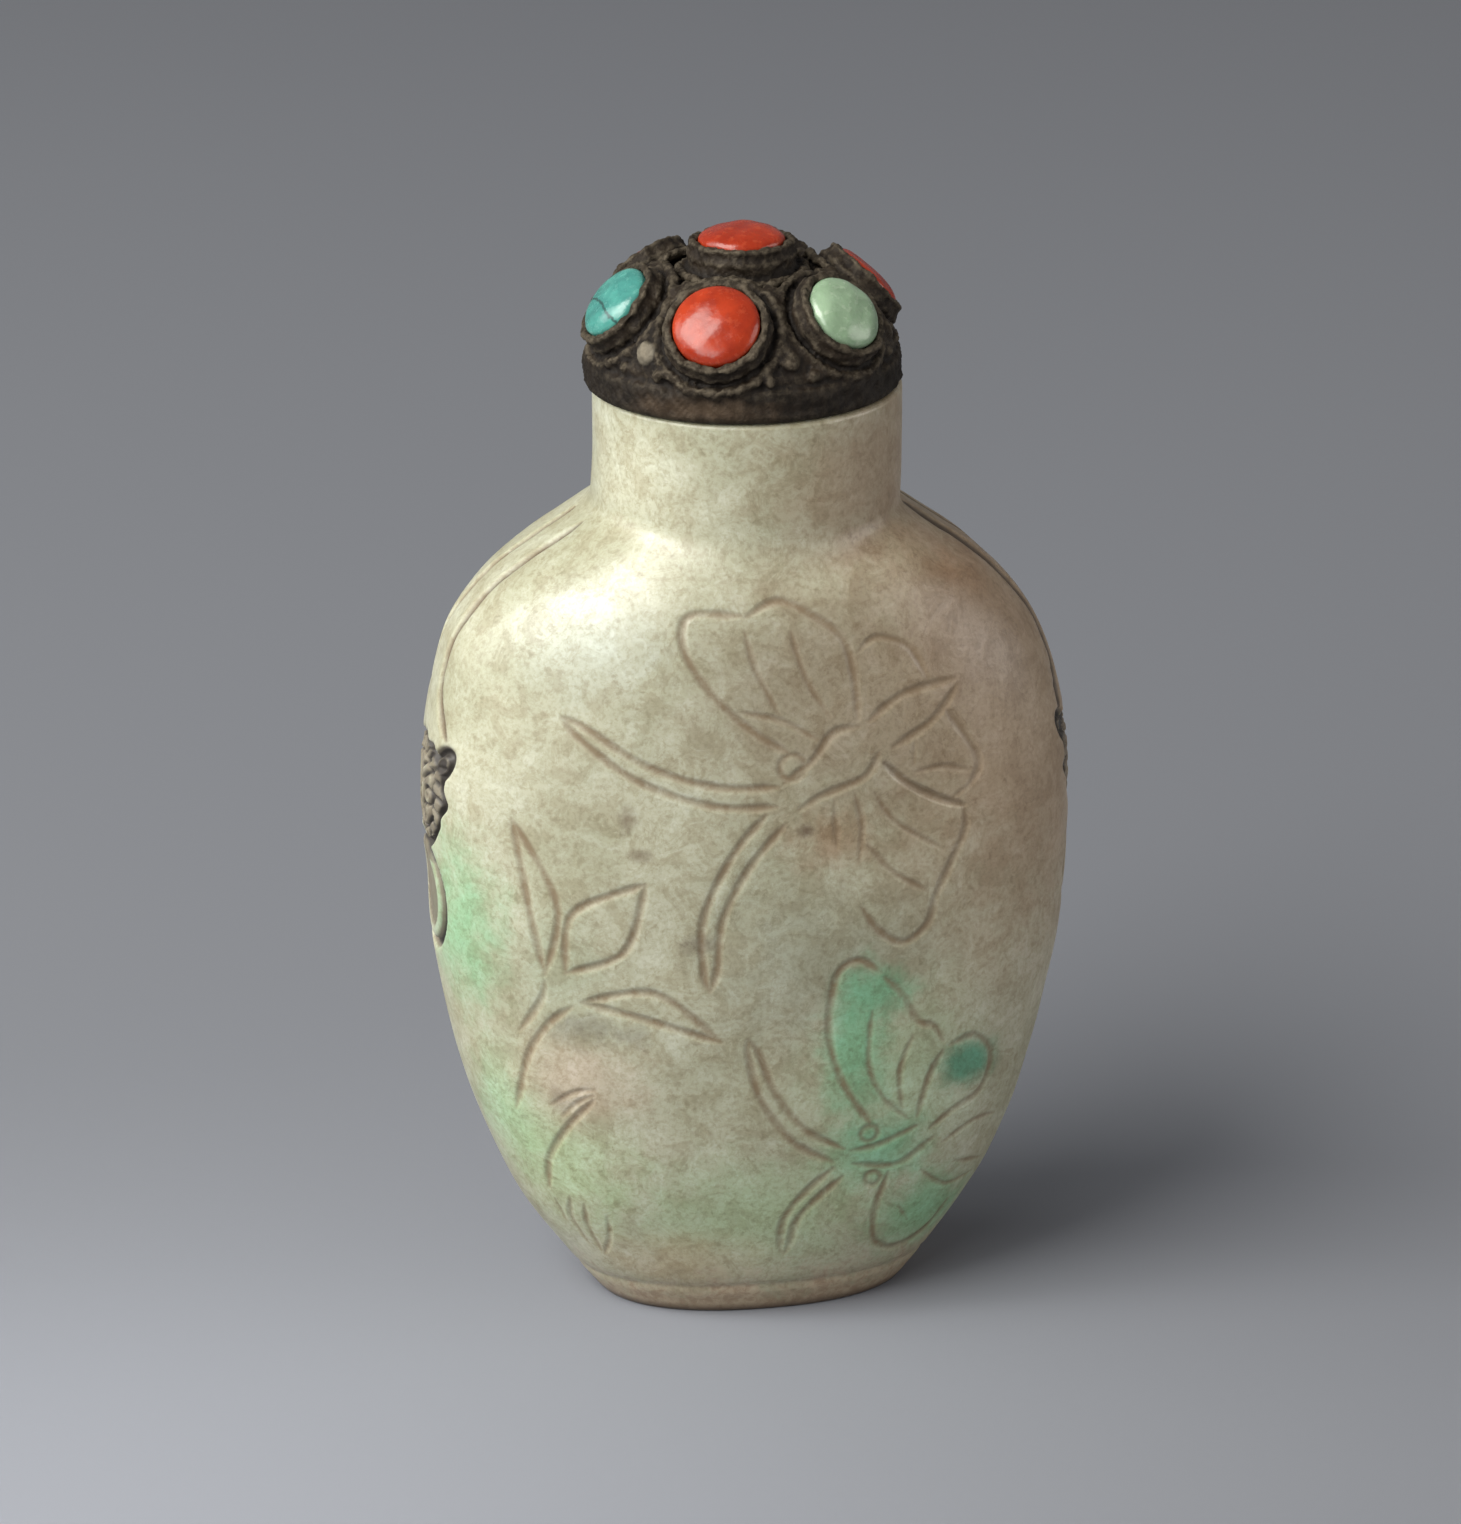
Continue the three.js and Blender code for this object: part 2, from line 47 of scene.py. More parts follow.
mm = 0.001
oval_stations = np.array([  # height, half width, half depth
    [0, 10.7, 7.3], [3, 13.0, 8.7], [8, 16.3, 10.3], [15, 19.2, 11.7], [24, 21.3, 12.6], [34, 22.15, 12.95],
    [42, 21.6, 12.8], [48, 19.75, 12.3], [52, 16.5, 11.6], [54.6, 12.8, 10.5], [56.9, 9.2, 9.0],
], dtype=float)
roundness = 2.3
neck_radius, neck_shift, neck_start, neck_top = 10.35, 0.3, 44.0, 56.9
shoulder_sway, sway_height, sway_reach = -0.5, 51.0, 5.0
lip_height, lip_edge = 64.4, 0.4
bore_radius, wall = 4.5, 3.2
foot_line_height, foot_line_depth = 2.3, 0.14
foot_rim_width, foot_recess = 1.8, 0.7
bold_width, bold_depth, fine_width, fine_depth, taper_length = 0.8, 0.1, 0.64, 0.075, 1.6


def rounded_path(points, steps):
    """A centripetal curve through the points, sampled evenly between each pair."""
    ends = [2 * points[0] - points[1], *points, 2 * points[-1] - points[-2]]
    samples = []
    for before, start, finish, after in zip(ends, ends[1:], ends[2:], ends[3:]):
        gaps = [math.sqrt(np.linalg.norm(b - a)) for a, b in ((before, start), (start, finish), (finish, after))]
        leaving = (start - before) / gaps[0] - (finish - before) / (gaps[0] + gaps[1]) + (finish - start) / gaps[1]
        arriving = (finish - start) / gaps[1] - (after - start) / (gaps[1] + gaps[2]) + (after - finish) / gaps[2]
        for share in np.arange(steps) / steps:
            curve = np.array([2 * share**3 - 3 * share**2 + 1, -2 * share**3 + 3 * share**2,
                              share**3 - 2 * share**2 + share, share**3 - share**2])
            samples.append(curve @ np.array([start, finish, leaving * gaps[1], arriving * gaps[1]]))
    return np.array([*samples, points[-1]])


oval_table = rounded_path(oval_stations, 24)


def oval_at(height):
    return (np.interp(height, oval_table[:, 0], oval_table[:, 1]),
            np.interp(height, oval_table[:, 0], oval_table[:, 2]))


def oval_reach(angle, width, depth):
    """How far an oval a little fuller than an ellipse reaches from its middle."""
    across, along = np.abs(np.cos(angle) / width), np.abs(np.sin(angle) / depth)
    return (across**roundness + along**roundness) ** (-1 / roundness)


def neck_reach(angle):
    return neck_shift * np.cos(angle) + np.sqrt(neck_radius**2 - (neck_shift * np.sin(angle)) ** 2)


def outer_reach(angle, height):
    """How far the stone reaches from the axis, with a soft root where the neck leaves the shoulders."""
    body, neck = oval_reach(angle, *oval_at(height)), neck_reach(angle)
    blend = 0.25 + 0.8 * np.abs(np.sin(angle)) ** 3
    share = np.clip(0.5 + (body - neck) / (2 * blend), 0, 1)
    joined = neck + (body - neck) * share + blend * share * (1 - share)
    return np.where(height < neck_start, body, np.where(height >= neck_top, neck, joined))


def sway(height):
    """The shoulders were cut a little to the left of the foot and of the neck."""
    return shoulder_sway * np.exp(-(((height - sway_height) / sway_reach) ** 2))


def skin(angle, height):
    """A point of the outer surface, with the shallow line that is cut round the foot."""
    line = foot_line_depth * np.exp(-(((height - foot_line_height) / 0.28) ** 2))
    reach = outer_reach(angle, height) - line
    return np.stack([reach * np.cos(angle) + sway(height), reach * np.sin(angle), height + 0 * angle], axis=-1)


def skin_normal(angle, height):
    step = 0.02
    around = skin(angle + step / 12, height) - skin(angle - step / 12, height)
    upward = skin(angle, height + step) - skin(angle, height - step)
    normal = np.cross(around, upward)
    return normal / np.linalg.norm(normal, axis=-1, keepdims=True)


def on_face(facing):
    """A point of a broad face at x across and z up: -1 is the front and 1 the back."""
    def place(across, up):
        width, depth = oval_at(up)
        share = np.minimum(np.abs(across - sway(up)) / width, 0.995)
        return np.stack([across, facing * depth * (1 - share**roundness) ** (1 / roundness), up], axis=-1)
    return place


def on_side(side):
    """A point of a narrow side at y across and z up: -1 is the left and 1 the right."""
    def place(across, up):
        width, depth = oval_at(up)
        share = np.minimum(np.abs(across) / depth, 0.995)
        reach = side * width * (1 - share**roundness) ** (1 / roundness)
        return np.stack([reach + sway(up), across, up], axis=-1)
    return place


def drawn_line(points, loop=False, step=0.12):
    """A freehand line through the points, in small even steps."""
    points = np.array(points, dtype=float)
    knots = np.vstack([points[-1:], points, points[:2]]) if loop else np.vstack([points[:1], points, points[-1:]])
    samples = []
    for before, start, finish, after in zip(knots, knots[1:], knots[2:], knots[3:]):
        steps = max(2, round(np.linalg.norm(finish - start) / step))
        for share in np.arange(steps) / steps:
            samples.append(0.5 * (2 * start + (finish - before) * share
                                  + (2 * before - 5 * start + 4 * finish - after) * share**2
                                  + (3 * start - before - 3 * finish + after) * share**3))
    if not loop:
        samples.append(points[-1])
    return np.array(samples)


def bold(*points, **more):
    return {"points": points, "width": bold_width, "depth": bold_depth, **more}


def fine(*points, **more):
    return {"points": points, "width": fine_width, "depth": fine_depth, **more}


def beside(start, finish, share, offset):
    """A point off the straight line from start to finish, at a share of its length."""
    along = np.subtract(finish, start)
    return tuple(np.add(start, along * share) + np.array([-along[1], along[0]]) / np.hypot(*along) * offset)


def leaf(foot, tip, left_bulge, right_bulge):
    return [bold(foot, beside(foot, tip, 0.45, left_bulge), tip),
            bold(foot, beside(foot, tip, 0.45, -right_bulge), tip)]


def feeler(root, bend, tip, breadth):
    """A long bowed blade, cut as two lines that meet at its tip."""
    middle = drawn_line([root, bend, tip])
    edges = []
    for side in (1, -1):
        points = []
        for share in (0, 0.3, 0.6, 0.85, 1):
            index = min(round(share * (len(middle) - 1)), len(middle) - 2)
            ahead = middle[index + 1] - middle[index]
            offset = side * breadth / 2 * math.sqrt(1 - share**3) / np.hypot(*ahead)
            points.append(tuple(middle[index] + np.array([-ahead[1], ahead[0]]) * offset))
        edges.append(bold(*points))
    return edges


def ring_cut(centre, radius, **more):
    turns = np.arange(10) * math.tau / 10
    return fine(*[(centre[0] + radius * math.cos(t), centre[1] + radius * math.sin(t)) for t in turns],
                loop=True, **more)


large_wings = [
    bold((0.9, 42.5), (-1.6, 44.2), (-4.3, 46.9), (-6.0, 49.9), (-5.5, 52.0), (-2.1, 51.9)),
    bold((-1.9, 51.8), (0.4, 52.7), (2.8, 51.5), (4.6, 49.9), (5.3, 47.4), (5.5, 44.5)),
    bold((7.3, 41.3), (8.8, 39.8), (11.0, 38.4), (12.9, 37.5), depth=0.25, wax=0.3),
    bold((12.9, 37.2), (13.0, 35.9), (12.1, 33.9), (10.9, 31.4), (10.3, 29.5), (8.6, 28.4), (6.8, 29.6), (5.7, 31.3)),
    fine((5.6, 49.0), (6.9, 49.8), (9.1, 48.9), (10.4, 46.6)),
    bold((11.5, 44.6), (13.1, 42.2), (14.0, 40.2), (13.1, 38.6)),
]
large_veins = [
    fine((-2.0, 51.0), (-1.3, 48.3), (0.2, 45.2)),
    fine((1.1, 50.7), (2.0, 47.6), (3.6, 44.8)),
    fine((6.6, 39.3), (8.1, 37.1), (11.4, 34.7)),
    fine((-2.6, 45.6), (0.3, 44.8), (2.8, 43.3)),
    fine((9.4, 42.6), (9.3, 41.0)),
    fine((9.4, 40.4), (11.4, 40.5), (13.3, 39.9)),
    fine((13.1, 38.8), (12.1, 38.2)),
    fine((3.8, 39.1), (4.0, 35.7)),
    fine((5.2, 39.4), (5.7, 37.2), (5.5, 34.6)),
    fine((6.1, 35.7), (8.0, 33.5), (10.3, 31.9)),
]
large_body = [
    bold((0.4, 40.5), (2.4, 42.0), (3.8, 43.7), (5.6, 44.0)),
    bold((6.9, 42.1), (5.9, 40.5), (3.0, 39.5), (1.4, 38.6)),
    bold((6.2, 44.3), (8.8, 45.9), (12.3, 46.3)),
    bold((12.4, 45.8), (10.6, 43.8), (7.8, 42.3)),
    ring_cut((1.0, 41.6), 0.85),
]
upper_feeler = feeler((0.0, 39.6), (-7.0, 40.5), (-14.0, 45.2), 1.35)
lower_feeler = feeler((-0.2, 38.0), (-4.0, 32.6), (-4.6, 25.9), 1.45)
large_butterfly = large_wings + large_veins + large_body + upper_feeler + lower_feeler
# The wings' edges come first, then the veins, the body, the eyes and the feelers.
small_butterfly = [
    bold((6.6, 14.9), (4.4, 18.7), (3.5, 22.6), (4.0, 26.5), (5.5, 27.5), (7.0, 26.4)),
    bold((7.3, 26.0), (8.6, 24.6), (9.8, 22.4), (10.9, 21.8), (11.6, 20.6)),
    bold((11.6, 19.8), (10.6, 17.8), (9.9, 15.0)),
    bold((12.1, 20.1), (14.0, 20.3), (15.4, 18.5), (14.6, 15.8), (12.4, 14.8), (10.9, 13.8)),
    fine((6.5, 23.6), (6.3, 19.8), (7.4, 16.9), (9.3, 14.9)),
    fine((9.4, 21.4), (8.5, 18.8), (8.8, 15.7)),
    fine((8.9, 7.8), (9.7, 6.3)),
    fine((11.9, 12.4), (14.2, 13.4), (16.0, 13.2)),
    fine((13.0, 10.4), (15.2, 9.6)),
    fine((10.4, 10.5), (12.4, 8.6), (14.6, 8.6)),
    bold((5.3, 13.0), (7.2, 13.2), (9.9, 14.2)),
    bold((5.4, 11.9), (8.6, 11.4), (11.2, 13.0)),
    bold((8.0, 10.8), (7.2, 8.0), (7.3, 5.2), (8.6, 4.1)),
    bold((7.6, 4.5), (8.8, 4.1), (10.4, 4.3), (11.8, 5.2), (12.9, 6.9), width=0.95, wax=0.35),
    ring_cut((6.5, 14.2), 0.6),
    ring_cut((6.9, 10.5), 0.55),
    *feeler((4.4, 12.7), (0.3, 16.0), (-2.0, 22.3), 1.2),
    *feeler((4.4, 11.4), (1.4, 8.4), (0.8, 4.9), 1.05),
]
leaf_spray = [
    *leaf((-15.3, 26.9), (-17.2, 37.9), 0.1, 1.7),
    *leaf((-14.0, 27.2), (-8.8, 33.8), 2.3, 1.9),
    *leaf((-13.0, 25.1), (-3.8, 22.2), 2.2, -0.2),
    bold((-15.3, 26.4), (-15.6, 24.9), (-16.9, 22.4)),
    bold((-13.6, 24.7), (-15.2, 23.1), (-16.4, 20.4), (-17.0, 16.2)),
]
low_grass = [
    fine((-12.1, 18.5), (-13.4, 18.2), (-14.9, 17.0), wax=0.12),
    fine((-12.2, 18.1), (-13.2, 17.4), (-14.2, 16.2)),
    bold((-12.2, 17.7), (-13.8, 15.4), (-14.9, 12.6), (-14.8, 9.9)),
    fine((-13.5, 9.5), (-13.3, 7.6), (-12.1, 5.4), wax=0.12),
    fine((-12.6, 9.1), (-12.3, 7.2), (-11.3, 5.0), wax=0.12),
    fine((-11.1, 8.3), (-10.9, 6.4), (-11.1, 4.7), wax=0.12),
    fine((-14.4, 9.0), (-13.7, 7.4)),
]


def turned(cuts, across, up, degrees):
    """The same cuts, turned about the middle of the face and moved."""
    pivot, turn = np.array([0.0, 40.0]), math.radians(degrees)
    spin = np.array([[math.cos(turn), -math.sin(turn)], [math.sin(turn), math.cos(turn)]])
    return [{**cut, "points": [tuple(spin @ (np.array(p) - pivot) + pivot + (across, up)) for p in cut["points"]]}
            for cut in cuts]


# The two lines that run from the neck's root down to each mask stay dark with old wax.
ring_height, ring_radius, ring_band = 30.0, 3.7, 1.2
mask_top, mask_middle, mask_foot, mask_half = 40.7, 37.2, 32.6, 4.3
low_line = bold((0, 25.2), (0, 16), (0, 6.5), depth=0.2, wax=0.7)
right_lines = [low_line] + [
    bold((side * 1.6, 55.7), (side * 1.9, 51.5), (side * 2.3, 48), (side * 3.0, 44.5), (side * 4.2, mask_top + 1.0),
         width=1.8, depth=0.36, wax=1.4) for side in (-1, 1)]
left_lines = [low_line] + [
    bold((side * 1.7, 55.7), (side * 1.7, 50), (side * 2.0, 45), (side * mask_half, mask_top + 1.2),
         width=1.1, depth=0.24, wax=0.55) for side in (-1, 1)]


def cut_samples(cuts, place):
    """Every cut as close points on the stone: place, half width, depth and how dark its wax is."""
    rows = []
    for cut in cuts:
        loop = cut.get("loop", False)
        flat = drawn_line(cut["points"], loop)
        spots = place(flat[:, 0], flat[:, 1])
        run = np.concatenate([[0], np.cumsum(np.linalg.norm(np.diff(spots, axis=0), axis=1))])
        from_end = np.minimum(run, run[-1] - run)
        taper = np.ones_like(run) if loop else np.clip(0.3 + from_end / taper_length, 0, 1)
        pressure = taper * (1 + 0.13 * np.sin(run * 1.7 + flat[0, 0]))
        rows.append(np.column_stack([spots, cut["width"] / 2 * np.sqrt(pressure), cut["depth"] * pressure,
                                     np.full(len(run), cut.get("wax", 0.0))]))
    return np.vstack(rows)


# The back is plainer: the large butterfly without its veins, over the same leaves.
front_cuts = cut_samples(large_butterfly + small_butterfly + leaf_spray + low_grass, on_face(-1))
plain_butterfly = large_wings + large_body + upper_feeler[1:] + lower_feeler
back_cuts = cut_samples(turned(plain_butterfly, 0.5, -3.5, 12) + leaf_spray, on_face(1))
side_cuts = np.vstack([cut_samples(left_lines, on_side(-1)), cut_samples(right_lines, on_side(1))])
all_cuts = np.vstack([front_cuts, back_cuts, side_cuts])


def tree_of(samples):
    tree = kdtree.KDTree(len(samples))
    for index, row in enumerate(samples):
        tree.insert(row[:3], index)
    tree.balance()
    return tree


all_tree, front_tree = tree_of(all_cuts), tree_of(front_cuts)


def soft_step(low, high, value):
    share = np.clip((value - low) / (high - low), 0, 1)
    return share * share * (3 - 2 * share)


# Half of the mask is drawn and the other half mirrors it: y out from its middle line, z up.
jaw_half, head_half, head_fullness = 4.15, 3.5, 2.5
ear_at, ear_lean, ear_long, ear_short = (3.75, 39.9), 0.75, 1.15, 0.6
eye_at, eye_lean, eye_long, eye_short = (1.75, 37.15), 0.3, 0.98, 0.62
brow_height, mouth_height, brow_half, fang_at, fang_tip = 38.2, 34.85, 3.0, 1.35, 33.75
nostril_at, bridge_foot, bridge_top, bridge_half = (0.72, 35.8), 36.3, 38.1, 0.45
moat_width, moat_depth, hole_rise, hoop_held_at = 0.55, 0.62, 0.34, 34.3


def furrow(distance, width, deep):
    """The depth of a soft groove at a distance from its middle line."""
    return deep * np.exp(-((distance / width) ** 2))


def lion_relief(across, up):
    """Depth under the stone's skin of the sunk mask and ring, and how much darker its colour is made there."""
    y, z = np.abs(across), up

    def leaning(centre, lean, long, short):
        along = (y - centre[0]) * math.cos(lean) + (z - centre[1]) * math.sin(lean)
        over = (z - centre[1]) * math.cos(lean) - (y - centre[0]) * math.sin(lean)
        return np.hypot(along / long, over / short)

    # The outline: a head with ragged locks, two ears, and the hoop that hangs from the mouth in a moat.
    from_ring = np.hypot(across, z - ring_height)
    hoop_line = np.abs(from_ring - (ring_radius - ring_band / 2))
    hoop = hoop_line - ring_band / 2
    turn = np.arctan2(z - mask_middle - 0.1, y)
    jaw = jaw_half * (1 - 0.06 * np.clip(mask_middle + 0.4 - z, 0, 4))
    locks = 1 + 0.045 * np.cos(turn * 13) * soft_step(35.2, 36.4, z)
    bulk = (y / jaw) ** head_fullness + (np.abs(z - mask_middle) / head_half) ** head_fullness
    head = (bulk ** (1 / head_fullness) / locks - 1) * 3.8
    ear = (leaning(ear_at, ear_lean, ear_long, ear_short) - 1) * 0.7
    head_edge = np.minimum(head, ear)
    figure = np.minimum(head_edge, hoop)
    moat_edge = np.minimum(head_edge, from_ring - ring_radius) - moat_width
    hole = from_ring < ring_radius - ring_band
    sunk = (moat_depth - hole_rise * hole) * (1 - soft_step(-0.4, 0.2, moat_edge))
    rise = 1 - soft_step(-0.3, 0.12, figure)

    # The face: its rounded rim, the mane's locks, the brows, the eyes, the nose, the lip and the fangs.
    mane = (head > -1.0) | (ear < 0)
    face = 0.03 + 0.26 * (1 - np.sqrt(np.clip(1 - (1 - np.clip(-head / 1.5, 0, 1)) ** 2, 0, 1)))
    face = face + 0.2 * np.clip(np.cos(turn * 21 + head * 2.6), 0, 1) * mane + furrow(head + 1.08, 0.14, 0.22)
    brow = z - brow_height - 0.68 * y + 0.06 * y * y
    brows = (y < brow_half) * (head < -0.5)
    face = face + (furrow(np.abs(brow) - 0.46, 0.15, 0.26) - furrow(brow, 0.3, 0.05)) * brows
    eye = leaning(eye_at, eye_lean, eye_long, eye_short)
    face = face + furrow((eye - 1) * 0.75, 0.15, 0.34) + furrow(eye * 0.75, 0.22, 0.16)
    face = face + furrow(y - bridge_half, 0.13, 0.16) * (z > bridge_foot) * (z < bridge_top)
    nostril = np.hypot(y - nostril_at[0], z - nostril_at[1])
    face = face + furrow(nostril - 0.58, 0.14, 0.28) + furrow(nostril, 0.2, 0.22)
    lip = z - mouth_height + 0.25 * np.sin(1.6 * y) - 0.1 * y * y
    fang = np.abs(y - fang_at) < 0.16 + 0.5 * (z - fang_tip)
    face = face + furrow(lip, 0.15, 0.28) * (y < brow_half) + 0.24 * soft_step(-0.25, -0.5, lip) * (y < 2.1) * ~fang
    band = 0.05 + 0.45 * (1 - np.sqrt(np.clip(1 - (hoop_line / (ring_band / 2)) ** 2, 0, 1)))
    top = np.where((hoop < 0) & (z < hoop_held_at) | (head_edge > 0), band, face)
    depth = np.maximum(sunk * (1 - rise), np.minimum(top, 1.1) * rise * (moat_edge < 0))

    # The colour darkens with the depth of the cut: most in the low places, lightly over the mask and hardly on the
    # hoop.
    patchy_dark = 0.3 + 0.15 * np.sin(up * 1.9 + across * 1.3) * np.sin(across * 2.3 - up * 0.7)
    extra_dark = 0.22 * hole + patchy_dark * (z > mask_foot)
    darkening = (1 - soft_step(-0.3, 0.3, moat_edge)) * np.clip(depth * (1.75 - 0.9 * hole) + extra_dark, 0, 1)
    return depth, darkening


relief_inset, relief_half, relief_low, relief_high = 13, 6.2, 24.0, 42.6


def on_relief(spots, margin=0.0):
    return ((np.abs(spots[:, 0]) > relief_inset) & (np.abs(spots[:, 1]) < relief_half + margin)
            & (spots[:, 2] > relief_low - margin) & (spots[:, 2] < relief_high + margin))


# The skin is a net of squares that halve wherever a cut runs, down to about a tenth of a millimetre: a square
# this many steps wide is halved when a cut lies within this distance of its middle.
halve_within = {8: 1.25, 4: 0.74, 2: 0.45}
columns, halvings = 128, 8
row_step, shoulder_step, widest_height = 0.84, 0.56, 34.0
turns_fine = np.linspace(0, math.tau, 4001)
middle_ring = skin(turns_fine, np.full(len(turns_fine), widest_height))
girth = np.concatenate([[0], np.cumsum(np.linalg.norm(np.diff(middle_ring, axis=0), axis=1))])
column_angles = np.interp(np.linspace(0, girth[-1], columns + 1), girth, turns_fine)
row_heights = np.concatenate([
    [0.35, 0.9, 1.45, 1.85, 2.1, 2.3, 2.5, 2.75, 3.3], np.arange(4.1, 49.5, row_step),
    np.arange(50.0, 58.6, shoulder_step), np.arange(59.3, 63.9, row_step), [lip_height - lip_edge],
])
rows = len(row_heights) - 1
net_width, net_height = columns * halvings, rows * halvings + 1
net_angle = np.interp(np.arange(net_width) / halvings, np.arange(columns + 1), column_angles)
net_row = np.interp(np.arange(net_height) / halvings, np.arange(rows + 1), row_heights)

squares = np.array([(u, v) for v in range(0, rows * halvings, halvings) for u in range(0, net_width, halvings)])
leaves = []
for size, reach in halve_within.items():
    half = size // 2
    centres = squares + half
    spots = skin(net_angle[centres[:, 0] % net_width], net_row[centres[:, 1]])
    tree, carved = all_tree, on_relief(spots)
    if size == 2:  # the finest squares are kept for the front and for the masks
        tree = front_tree
        carved &= (np.abs(spots[:, 1]) < mask_half + 0.6) & (spots[:, 2] > 32.8) & (spots[:, 2] < mask_top + 0.7)
    near = np.array([tree.find(spot)[2] < reach for spot in spots]) | carved
    leaves.append((size, squares[~near]))
    corners = squares[near]
    squares = np.vstack([corners, corners + (half, 0), corners + (0, half), corners + (half, half)])
leaves.append((1, squares))

present = np.zeros((net_height, net_width), dtype=bool)
for size, corners in leaves:
    for across, up in ((0, 0), (size, 0), (size, size), (0, size)):
        present[corners[:, 1] + up, (corners[:, 0] + across) % net_width] = True
numbers = np.full(present.shape, -1)
net_v, net_u = np.nonzero(present)
numbers[net_v, net_u] = np.arange(len(net_u))
spots = skin(net_angle[net_u], net_row[net_v])
outward = skin_normal(net_angle[net_u], net_row[net_v])

# Hand polishing left the skin a few hundredths of a millimetre uneven.
x, z = spots[:, 0], spots[:, 2]
waver = (0.045 * np.sin(x * 0.37 + z * 0.21) + 0.03 * np.sin(z * 0.53 - x * 0.29)
         + 0.018 * np.sin(x * 1.13 + z * 0.87 + 1.0))
waver *= soft_step(3.0, 9.0, z) * (1 - soft_step(57, 62, z))
depth = 0.05 - waver
widest_stain, stain_margin = 1.1, 0.08
groove, darkening, wax, relief_depth, relief_dirt = np.zeros((5, len(spots)))
for index, spot in enumerate(spots):
    if all_tree.find(spot)[2] > widest_stain:
        continue
    for _, found, distance in all_tree.find_range(spot, widest_stain):
        half_width, cut_depth, cut_wax = all_cuts[found, 3:]
        share = distance / half_width
        if share < 1:
            groove[index] = max(groove[index], (1 - share * share) ** 1.6 * cut_depth)
        stain = max(0.0, 1 - distance / (half_width + stain_margin)) * min(1.0, 0.45 + cut_depth / 0.2)
        darkening[index] = max(darkening[index], stain)
        wax[index] = max(wax[index], stain * cut_wax)
sides = on_relief(spots, 0.6)
relief_depth[sides], relief_dirt[sides] = lion_relief(spots[sides, 1], spots[sides, 2])
depth = depth + np.maximum(groove, relief_depth)
spots = spots - outward * depth[:, None]

# Each square becomes a face. One beside smaller squares takes their corners into its own edge.
faces = []
for size, corners in leaves:
    steps = np.arange(size)
    walk = np.concatenate([
        np.column_stack([steps, 0 * steps]), np.column_stack([0 * steps + size, steps]),
        np.column_stack([size - steps, 0 * steps + size]), np.column_stack([0 * steps, size - steps]),
    ])
    u = (corners[:, 0, None] + walk[None, :, 0]) % net_width
    v = corners[:, 1, None] + walk[None, :, 1]
    around = numbers[v, u]
    plain = (around >= 0).sum(axis=1) == 4
    faces += around[plain][:, ::size].tolist() if size > 1 else around.tolist()
    if size > 1:
        faces += [ring[ring >= 0].tolist() for ring in around[~plain]]


def ring_at(reach, height):
    angles = column_angles[:-1]
    distance = reach(angles) + 0 * angles
    return np.column_stack([distance * np.cos(angles), distance * np.sin(angles), np.full(columns, float(height))])


def oval_ring(height, inset, share=1.0, at=None):
    width, deep = oval_at(height if at is None else at)
    return ring_at(lambda angle: oval_reach(angle, (width - inset) * share, (deep - inset) * share), height)


def bore_ring(height, extra=0.0):
    return ring_at(lambda angle: neck_reach(angle) - neck_radius + bore_radius + extra, height)


# The foot's standing rim and its recess, from the middle outwards.
foot_rings = [
    oval_ring(foot_recess, 5.5, at=0), oval_ring(foot_recess, foot_rim_width + foot_recess, at=0),
    oval_ring(foot_recess * 0.75, foot_rim_width + 0.35, at=0), oval_ring(0.12, foot_rim_width + 0.05, at=0),
    oval_ring(0, foot_rim_width - 0.1, at=0), oval_ring(0, 0.3, at=0), oval_ring(0.1, 0.02, at=0),
]
# The lip, the bore and the chamber, from the top down.
cavity_floor = 5.35
hollow_rings = [
    *[ring_at(lambda angle, cut=cut: neck_reach(angle) - cut, lip_height - rise)
      for cut, rise in ((0.06, 0.24), (0.18, 0.08), (0.4, 0.0))],
    bore_ring(lip_height, 1.6), bore_ring(lip_height, 0.25), bore_ring(lip_height - 0.25),
    *[bore_ring(height) for height in (62, 60, 58.4, 57)],
    *[oval_ring(height, wall, share) for height, share in (
        (55.2, 0.56), (53.5, 0.72), (52.3, 0.82), (51, 0.9), (49.5, 0.96), (48, 1.0), (45, 1.0), (42, 1.0), (38, 1.0),
        (34, 1.0), (29, 1.0), (25, 1.0), (21, 1.0), (17, 1.0), (14, 1.0), (11, 1.0), (9, 0.98), (7, 0.9),
        (6, 0.76), (5.5, 0.6), (5.4, 0.3))],
]


def strip(lower, upper):
    following = np.roll(np.arange(columns), -1)
    return np.column_stack([lower, lower[following], upper[following], upper]).tolist()


points = [spots]
total = len(spots)
lower = numbers[-1, ::halvings]
for ring in hollow_rings:
    upper = np.arange(total, total + columns)
    points.append(ring)
    faces += strip(lower, upper)
    lower, total = upper, total + columns
points.append(np.array([[0, 0, cavity_floor]]))
faces += [[a, b, total] for a, b in zip(lower, np.roll(lower, -1))]
total += 1
upper = numbers[0, ::halvings]
for ring in reversed(foot_rings):
    lower = np.arange(total, total + columns)
    points.append(ring)
    faces += strip(lower, upper)
    upper, total = lower, total + columns
points.append(np.array([[0, 0, foot_recess]]))
faces += [[b, a, total] for a, b in zip(upper, np.roll(upper, -1))]

points = np.vstack(points)
stone_mesh = bpy.data.meshes.new("jade_bottle")
stone_mesh.from_pydata((points * mm).tolist(), [], faces)
for name, values in (("cut_dirt", darkening), ("cut_wax", wax), ("relief_dirt", relief_dirt)):
    layer = stone_mesh.attributes.new(name, "FLOAT", "POINT")
    layer.data.foreach_set("value", np.concatenate([values, np.zeros(len(points) - len(values))]))
stone_mesh.validate()
stone_mesh.shade_smooth()
jade_bottle = bpy.data.objects.new("jade_bottle", stone_mesh)
bpy.context.scene.collection.objects.link(jade_bottle)


